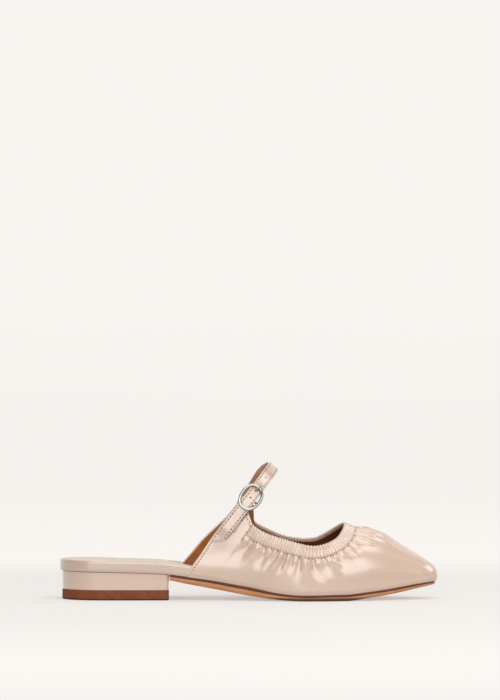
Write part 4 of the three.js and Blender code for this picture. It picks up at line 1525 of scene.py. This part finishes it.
def wire_tree():
    """Round wire along lines, as thick as the radius kept on their points."""
    tree = Tree("wire", Sides="Int")
    line = tree.out("GeometryNodeMeshToCurve", {}, Mesh=tree.given("Geometry"))
    radius = tree.out("GeometryNodeInputNamedAttribute", {"data_type": "FLOAT"}, Name="radius")
    sized = tree.out("GeometryNodeSetCurveRadius", {}, Curve=line, Radius=radius)
    sides = tree.given("Sides")
    ring = tree.out("GeometryNodeCurvePrimitiveCircle", {}, Resolution=sides, Radius=1.0)
    swept = tree.out(
        "GeometryNodeCurveToMesh", {}, Curve=sized, Profile_Curve=ring, Fill_Caps=True, Scale=radius
    )
    return tree.finish(tree.out("GeometryNodeSetShadeSmooth", {}, Geometry=swept))


def stitch_tree():
    """Beads at an even pitch along lines, lying along them and flat to the normal kept on them."""
    tree = Tree("stitches", Pitch="Float", Shift="Float", Size="Vector")
    line = tree.out("GeometryNodeMeshToCurve", {}, Mesh=tree.given("Geometry"))
    pitch, shift, size = (tree.given(name) for name in ("Pitch", "Shift", "Size"))
    paced = tree.out("GeometryNodeResampleCurve", {"mode": "LENGTH"}, Curve=line, Length=pitch)
    run = tree.out("GeometryNodeInputTangent", {})
    offset = tree.out("ShaderNodeVectorMath", {"operation": "SCALE"}, V0=run, Scale=shift)
    moved = tree.out("GeometryNodeSetPosition", {}, Geometry=paced, Offset=offset)
    normal = tree.out("GeometryNodeInputNamedAttribute", {"data_type": "FLOAT_VECTOR"}, Name="out")
    align = "FunctionNodeAlignRotationToVector"
    flat = tree.out(align, {"axis": "Z"}, Vector=normal)
    turned = tree.out(align, {"axis": "X", "pivot_axis": "Z"}, Rotation=flat, Vector=run)
    bead = tree.out("GeometryNodeMeshUVSphere", {}, Segments=8, Rings=6, Radius=0.5)
    soft = tree.out("GeometryNodeSetShadeSmooth", {}, Geometry=bead)
    sewn = tree.out(
        "GeometryNodeInstanceOnPoints", {}, Points=moved, Instance=soft, Rotation=turned, Scale=size
    )
    return tree.finish(sewn)


def make_buckle(material):
    long, wide = (BUCKLE_LENGTH - FRAME_WIRE) / 2, (BUCKLE_WIDTH - FRAME_WIRE) / 2
    angle = np.linspace(0, 2 * math.pi, 129)[:-1]
    ahead, across = (
        size * np.sign(share) * np.abs(share) ** BUCKLE_SQUARE
        for size, share in ((long, np.cos(angle)), (wide, np.sin(angle)))
    )
    ring = hoop_point(buckle_turn(ahead), across, FRAME_OFF)
    half = spline(BAR_DROP, 8)
    half = np.column_stack([wide - half[:, 0], FRAME_OFF - (FRAME_OFF - BAR_OFF) * half[:, 1]])
    route = np.vstack([half * (-1, 1), half[::-1]])
    bar = hoop_point(buckle_turn(0.0), route[:, 0], route[:, 1])
    wire = wire_tree()
    paths = [(ring, RING_RADIUS * MM, True), (bar, BAR_WIRE / 2 * MM, False)]
    frame_piece = path_mesh("buckle_frame_metal", "radius", paths)
    wire.grow(frame_piece, Sides=22, Material=material)
    dressed(frame_piece, None, "buckle_metal", "buckle_frame")

    rest = FRAME_OFF + (FRAME_WIRE + PRONG_WIRE) / 2 + 0.1
    route = spline(
        [
            (0.3, BAR_OFF),
            (PRONG_HOLE - 2.2, BAR_OFF),
            (PRONG_HOLE - 1.3, BAR_OFF + 0.25),
            (PRONG_HOLE + 0.1, BAR_OFF + 1.6),
            (PRONG_HOLE + 1.1, rest - 0.2),
            (PRONG_HOLE + 2.2, rest),
            (BUCKLE_LENGTH / 2 + 1.2, rest - 0.15),
        ],
        8,
    )
    line = hoop_point(buckle_turn(route[:, 0]), 0.0, route[:, 1])
    thicker = 0.95 + 0.75 * smoothstep(route[:, 0], PRONG_HOLE - 1, PRONG_HOLE + 2)
    left = np.arange(len(line))[::-1]
    radius = 0.5 * PRONG_WIRE * thicker * np.sqrt(np.clip((left + 0.6) / 4, 0, 1))
    prong = path_mesh("buckle_prong_metal", "radius", [(line, radius * MM, False)])
    wire.grow(prong, Sides=18, Material=material)
    dressed(prong, None, "buckle_metal", "buckle_prong")


# Heel, sole and insole


def around_plan(inset):
    """Heel outline seen from above, closed, evenly spaced, its front corners rounded."""
    front = HEEL_LENGTH - max(inset - HEEL_INSET, 0)
    half = np.linspace(0, math.pi, 160)

    def edge(side):
        end = front - BREAST_SKEW * (side > 0)
        xs = inset + (end - inset) * (0.5 + 0.5 * np.cos(half))
        left = np.minimum(end - xs, HEEL_CORNER)
        corner = HEEL_CORNER - np.sqrt(HEEL_CORNER**2 - (HEEL_CORNER - left) ** 2)
        return np.stack([xs, side * np.maximum(half_width(xs, side, -inset) - corner, 0)], axis=1)

    lateral, medial = edge(-1), edge(1)[::-1][1:]
    share = np.linspace(1, -1, 40)[1:-1]
    x = front - BREAST_SKEW * (0.5 + 0.5 * share) - BREAST_HOLLOW * (1 - share**2)
    y = np.where(share > 0, medial[-1, 1], -lateral[0, 1]) * share
    return evenly(np.vstack([lateral, medial, np.stack([x, y], axis=1), lateral[:1]]), 1.0)[:-1]


def stacked(name, levels, count=220):
    """A closed body through heel outlines one above the other, each an inset and its heights."""
    rings = []
    for inset, height in levels:
        outline = around_plan(inset)
        closed = np.vstack([outline, outline[:1]])
        flat = spaced(closed, np.linspace(0, lengths_along(closed)[-1], count + 1)[:-1])
        z = height(flat[:, 0]) if callable(height) else np.full(count, height)
        rings.append(np.column_stack([flat, z]))
    return make_shell(name, np.array(rings), 0.001, 40)


def make_heel(material):
    low = TOP_PIECE_HEIGHT + PIECE_GAP
    base, top = HEEL_INSET + HEEL_TAPER, HEEL_INSET
    levels = [(base + 0.6, low - 0.2), (base + 0.15, low - 0.2), (base, low + 0.2)]
    for share in np.linspace(0, 1, 9):
        height = lambda x, s=share: low + 0.3 + s * (seat(x) - 0.5 - low)
        levels.append((base + (top - base) * share, height))
    levels += [(top + inset, lambda x: seat(x) + 0.1) for inset in (0.5, 2.0)]
    return dressed(stacked("heel_cover", levels), material, "upper_leather", "heel")


def make_top_piece(material):
    wide = HEEL_INSET + HEEL_TAPER - TOP_PIECE_PROUD
    levels = [
        (wide + 3.0, 0.0),
        (wide + 0.4, 0.0),
        (wide, 0.4),
        (wide, 2.5),
        (wide, TOP_PIECE_HEIGHT - 0.25),
        (wide + 0.2, TOP_PIECE_HEIGHT),
        (wide + 3.0, TOP_PIECE_HEIGHT),
    ]
    return dressed(stacked("heel_tread", levels), material, "top_piece_rubber", "heel_top_piece")


def toe_stations(start, tip, count):
    """Places along the shoe, ever closer round the toe."""
    turn = tip - TOE_ROUND
    ends = turn + TOE_ROUND * np.sin(np.linspace(0, math.pi / 2, 28))
    return np.concatenate([np.linspace(start, turn, count)[:-1], ends])


def make_outsole(material):
    tip = LENGTH - SOLE_TIP_INSET
    xs = toe_stations(HEEL_LENGTH + PIECE_GAP, tip - SOLE_INSET - 0.02, 130)
    low, high = underside(xs), seat(xs)

    def column(y, up, dark, flat):
        return np.stack([xs, y, low + (high - low) * up], axis=1), dark, flat

    columns_here = []
    for side in (-1, 1):
        wide = half_width(xs, side, -SOLE_INSET, tip)
        tread = side * np.maximum(wide - SOLE_EDGE_WIDTH, 0)
        half = [column(tread * share, 0.0, 0.0, 1.0) for share in np.linspace(0, 1, 12)[:-1]]
        for row in read_rows(SOLE_EDGE):
            y = side * np.maximum(wide - row["inset"], 0.0)
            half.append(column(y, row["up"], row["dark"], row["flat"]))
        half.append(column(0 * xs, 1.0, 1.0, 0.0))
        columns_here += half if side < 0 else half[1:-1][::-1]
    points, band, under = zip(*columns_here)
    points = np.stack(points, axis=1)
    piece = make_shell("outsole_leather", points, sharp=50, band=band, underside=under)
    return dressed(piece, material, "sole_leather", "outsole")


def make_insole(material):
    """Sock over its padded board: a rolled edge, a soft cup at the heel and a slight arch."""
    start, tip = SOCK_INSET + 0.04, LENGTH - SOCK_INSET - 0.04
    heel = start + HEEL_ROUND * (1 - np.cos(np.linspace(0, math.pi / 2, 36)))
    xs = np.concatenate([heel[:-1], toe_stations(heel[-1], tip, 120)])
    low = seat(xs) + PIECE_GAP
    high = low + SOCK_HEIGHT * SOLE["bed"](xs / LENGTH)
    columns_here = []
    for share in np.linspace(-1, 1, 41):
        wide = half_width(xs, -1 if share < 0 else 1, -SOCK_INSET)
        y = np.sign(share) * wide * abs(share) ** 0.8
        rim = wide - np.abs(y)
        depth = SOCK_ROLL - np.clip(rim, 0, SOCK_ROLL)
        roll = SOCK_ROLL - np.sqrt(np.clip(SOCK_ROLL**2 - depth**2, 0, None))
        cup = 0.35 * (1 - smoothstep(xs, 20, 90)) * (np.abs(share) ** 2 - 0.4)
        crown = 0.35 * smoothstep(rim, 0, 2.5)
        z = high - roll + crown + cup * smoothstep(rim, 0, 3)
        columns_here.append(np.stack([xs, y, z], axis=1))
    for side, ups in ((1, (0.55, 0.25, 0.0)), (-1, (0.0, 0.25, 0.55))):
        y = side * half_width(xs, side, -SOCK_INSET)
        columns_here += [np.stack([xs, y, low + (high - low) * up], axis=1) for up in ups]
    piece = make_shell("insole_sock", np.stack(columns_here, axis=1))
    return dressed(piece, material, "sock_leather", "insole")


def make_heel_rand(material):
    """Leather strip round the heel seat with a rolled upper rim, ending at the quarters."""
    angles = np.linspace(0, math.pi, 181)
    sides = np.where(angles < math.pi / 2, -1.0, 1.0)
    edges = [side_view(rows) for rows in (LATERAL_REAR, MEDIAL_REAR)]
    columns_here = []
    for inset, up in RAND_SECTION:
        height = seat(RAND_FRONT) + PIECE_GAP + RAND_HEIGHT * up
        fronts = [np.interp(height, edge[:, 1], edge[:, 0]) - PIECE_GAP for edge in edges]
        front = np.where(sides < 0, *fronts)
        x = front * (1 - np.sin(angles) ** 1.6)
        along = inset + x * (front - inset) / front
        y = sides * half_width(along, sides, -inset)
        z = seat(along) + PIECE_GAP * 0.4 + (RAND_HEIGHT + 0.18) * up
        columns_here.append(np.stack([along, y, z], axis=1))
    piece = make_shell("heel_rand_leather", np.stack(columns_here, axis=1), **UNMARKED)
    return dressed(piece, material, "upper_leather", "heel_rand")


# Stitching

STITCH_PITCH = {"strap": 2.45, "upper": 2.2}
STITCH_SIZE = (1.4, 0.46, 0.46)
NEEDLE_HOLE_SIZE = (1.25, 0.56, 0.4)
BARE_THROAT = 14.0
TAB_STITCHES = (-7.7, -12.2)


def strap_row(turns, across, height, over):
    """A row of sewing over the last: its points and, from a height farther out, the way out."""
    line = hoop_point(turns, across, height)
    return line, hoop_point(turns, across, over) - line, False


def strap_seams():
    """Rows of sewing along both edges of the strap, across its free end and on the tab's foot."""
    aside = STRAP_WIDTH / 2 - STRAP_SEAM
    inset = buckle_turn(STRAP_SEAM) - BUCKLE_TURN

    def row(turns, across):
        height = strap_lift(turns) + STRAP_THICKNESS + 0.02
        return strap_row(turns, across, height, height + 1)

    rows = []
    for across in (-aside, aside):
        start = strap_start(np.array([across]))[0] + inset
        rows.append(row(np.linspace(start, STRAP_MEDIAL_TURN, 300), across))
    across = np.linspace(-aside, aside, 12)
    rows.append(row(strap_start(across) + inset, across))
    turns = buckle_turn(np.linspace(*TAB_STITCHES, 12), 0)
    rows.append(strap_row(turns, TAB_SEAM, PIECE_GAP + 0.7 * TAB_THICKNESS, 3.0))
    return rows


def upper_seams(upper):
    """Rows under the band, round the ears and along the rear edges of the quarters."""
    away, ahead, rear = (upper.view(name) for name in ("away", "ahead", "rear"))
    throat = upper.view("along")[:, 0] - upper.around.lateral_run
    banded = ahead[:, 0] > -3.5
    number = np.arange(upper.columns)
    edged = (rear[:, 0] < 0.4) & (number >= 4) & (number < upper.columns - 4)
    lateral = number < upper.lateral_columns
    rows = []
    for values, level, chosen in (
        (away, BAND_WIDTH, banded & (throat < -BARE_THROAT)),
        (away, BAND_WIDTH, banded & (throat > BARE_THROAT)),
        (rear, EDGE_SEAM, edged & lateral),
        (rear, EDGE_SEAM, edged & ~lateral),
    ):
        smooth = evenly(np.hstack(upper.level_line(values, level, np.nonzero(chosen)[0])), 0.5)
        rows.append((smooth[:, :3], smooth[:, 3:], False))
    return rows


def side_seam(upper, points, side):
    """A row of sewing on the leather, given by its places seen from the side."""
    line = evenly(spline(points, 10), 0.5)
    skin_points, normals = upper.outer().reshape(-1, 3), upper.normals.reshape(-1, 3)
    here = np.nonzero(skin_points[:, 1] * side > 0)[0]
    flat = skin_points[here].copy()
    flat[:, 1] = 0
    index = here[nearest(flat, np.column_stack([line[:, 0], 0 * line[:, 0], line[:, 1]]))[1]]
    on_skin = np.column_stack([line[:, 0], skin_points[index, 1], line[:, 1]])
    on_skin[1:-1] = (on_skin[:-2] + on_skin[1:-1] + on_skin[2:]) / 3
    return on_skin + 0.1 * normals[index], normals[index], False


def make_stitches(upper, thread, hole):
    tree = stitch_tree()
    upper_rows = upper_seams(upper)
    upper_rows.append(side_seam(upper, LATERAL_EAR_SEAM, -1))
    upper_rows.append(side_seam(upper, np.add(LATERAL_EAR_SEAM, MEDIAL_EAR_SHIFT), 1))
    for node, rows in (("strap", strap_seams()), ("upper", upper_rows)):
        pitch = STITCH_PITCH[node] * MM
        for name, shift, size, material in (
            (node + "_thread", 0.0, STITCH_SIZE, thread),
            # dark beads that paint the shade in the needle holes
            (node + "_needle_holes", pitch / 2, NEEDLE_HOLE_SIZE, hole),
        ):
            piece = path_mesh(name, "out", rows)
            size = tuple(MM * length for length in size)
            tree.grow(piece, Pitch=pitch, Shift=shift, Size=size, Material=material)
            dressed(piece, None, "upper_leather", node)


make_camera()
make_floor(pale_floor())
light_studio()
leather = nude_leather("nude_leather", marked=True)
lining = caramel_lining()
upper = Upper()
upper.build(leather)
upper.build_lining(lining)
# the strap's leather dimmed to 0.93 as painted shade, so it looks less lit
strap_leather = nude_leather("strap_leather", marked=True, painted_shade=0.93)
make_strap(strap_leather)
make_tab(strap_leather)
make_buckle(buckle_metal())
make_heel(nude_leather("heel_leather"))
make_top_piece(heel_rubber())
make_outsole(sole_leather())
make_insole(sock_leather())
# the rand's leather dimmed to 0.84 as painted shade, so its face looks less lit
make_heel_rand(nude_leather("rand_leather", marked=True, painted_shade=0.84))
make_stitches(upper, sewing_thread(), needle_hole())
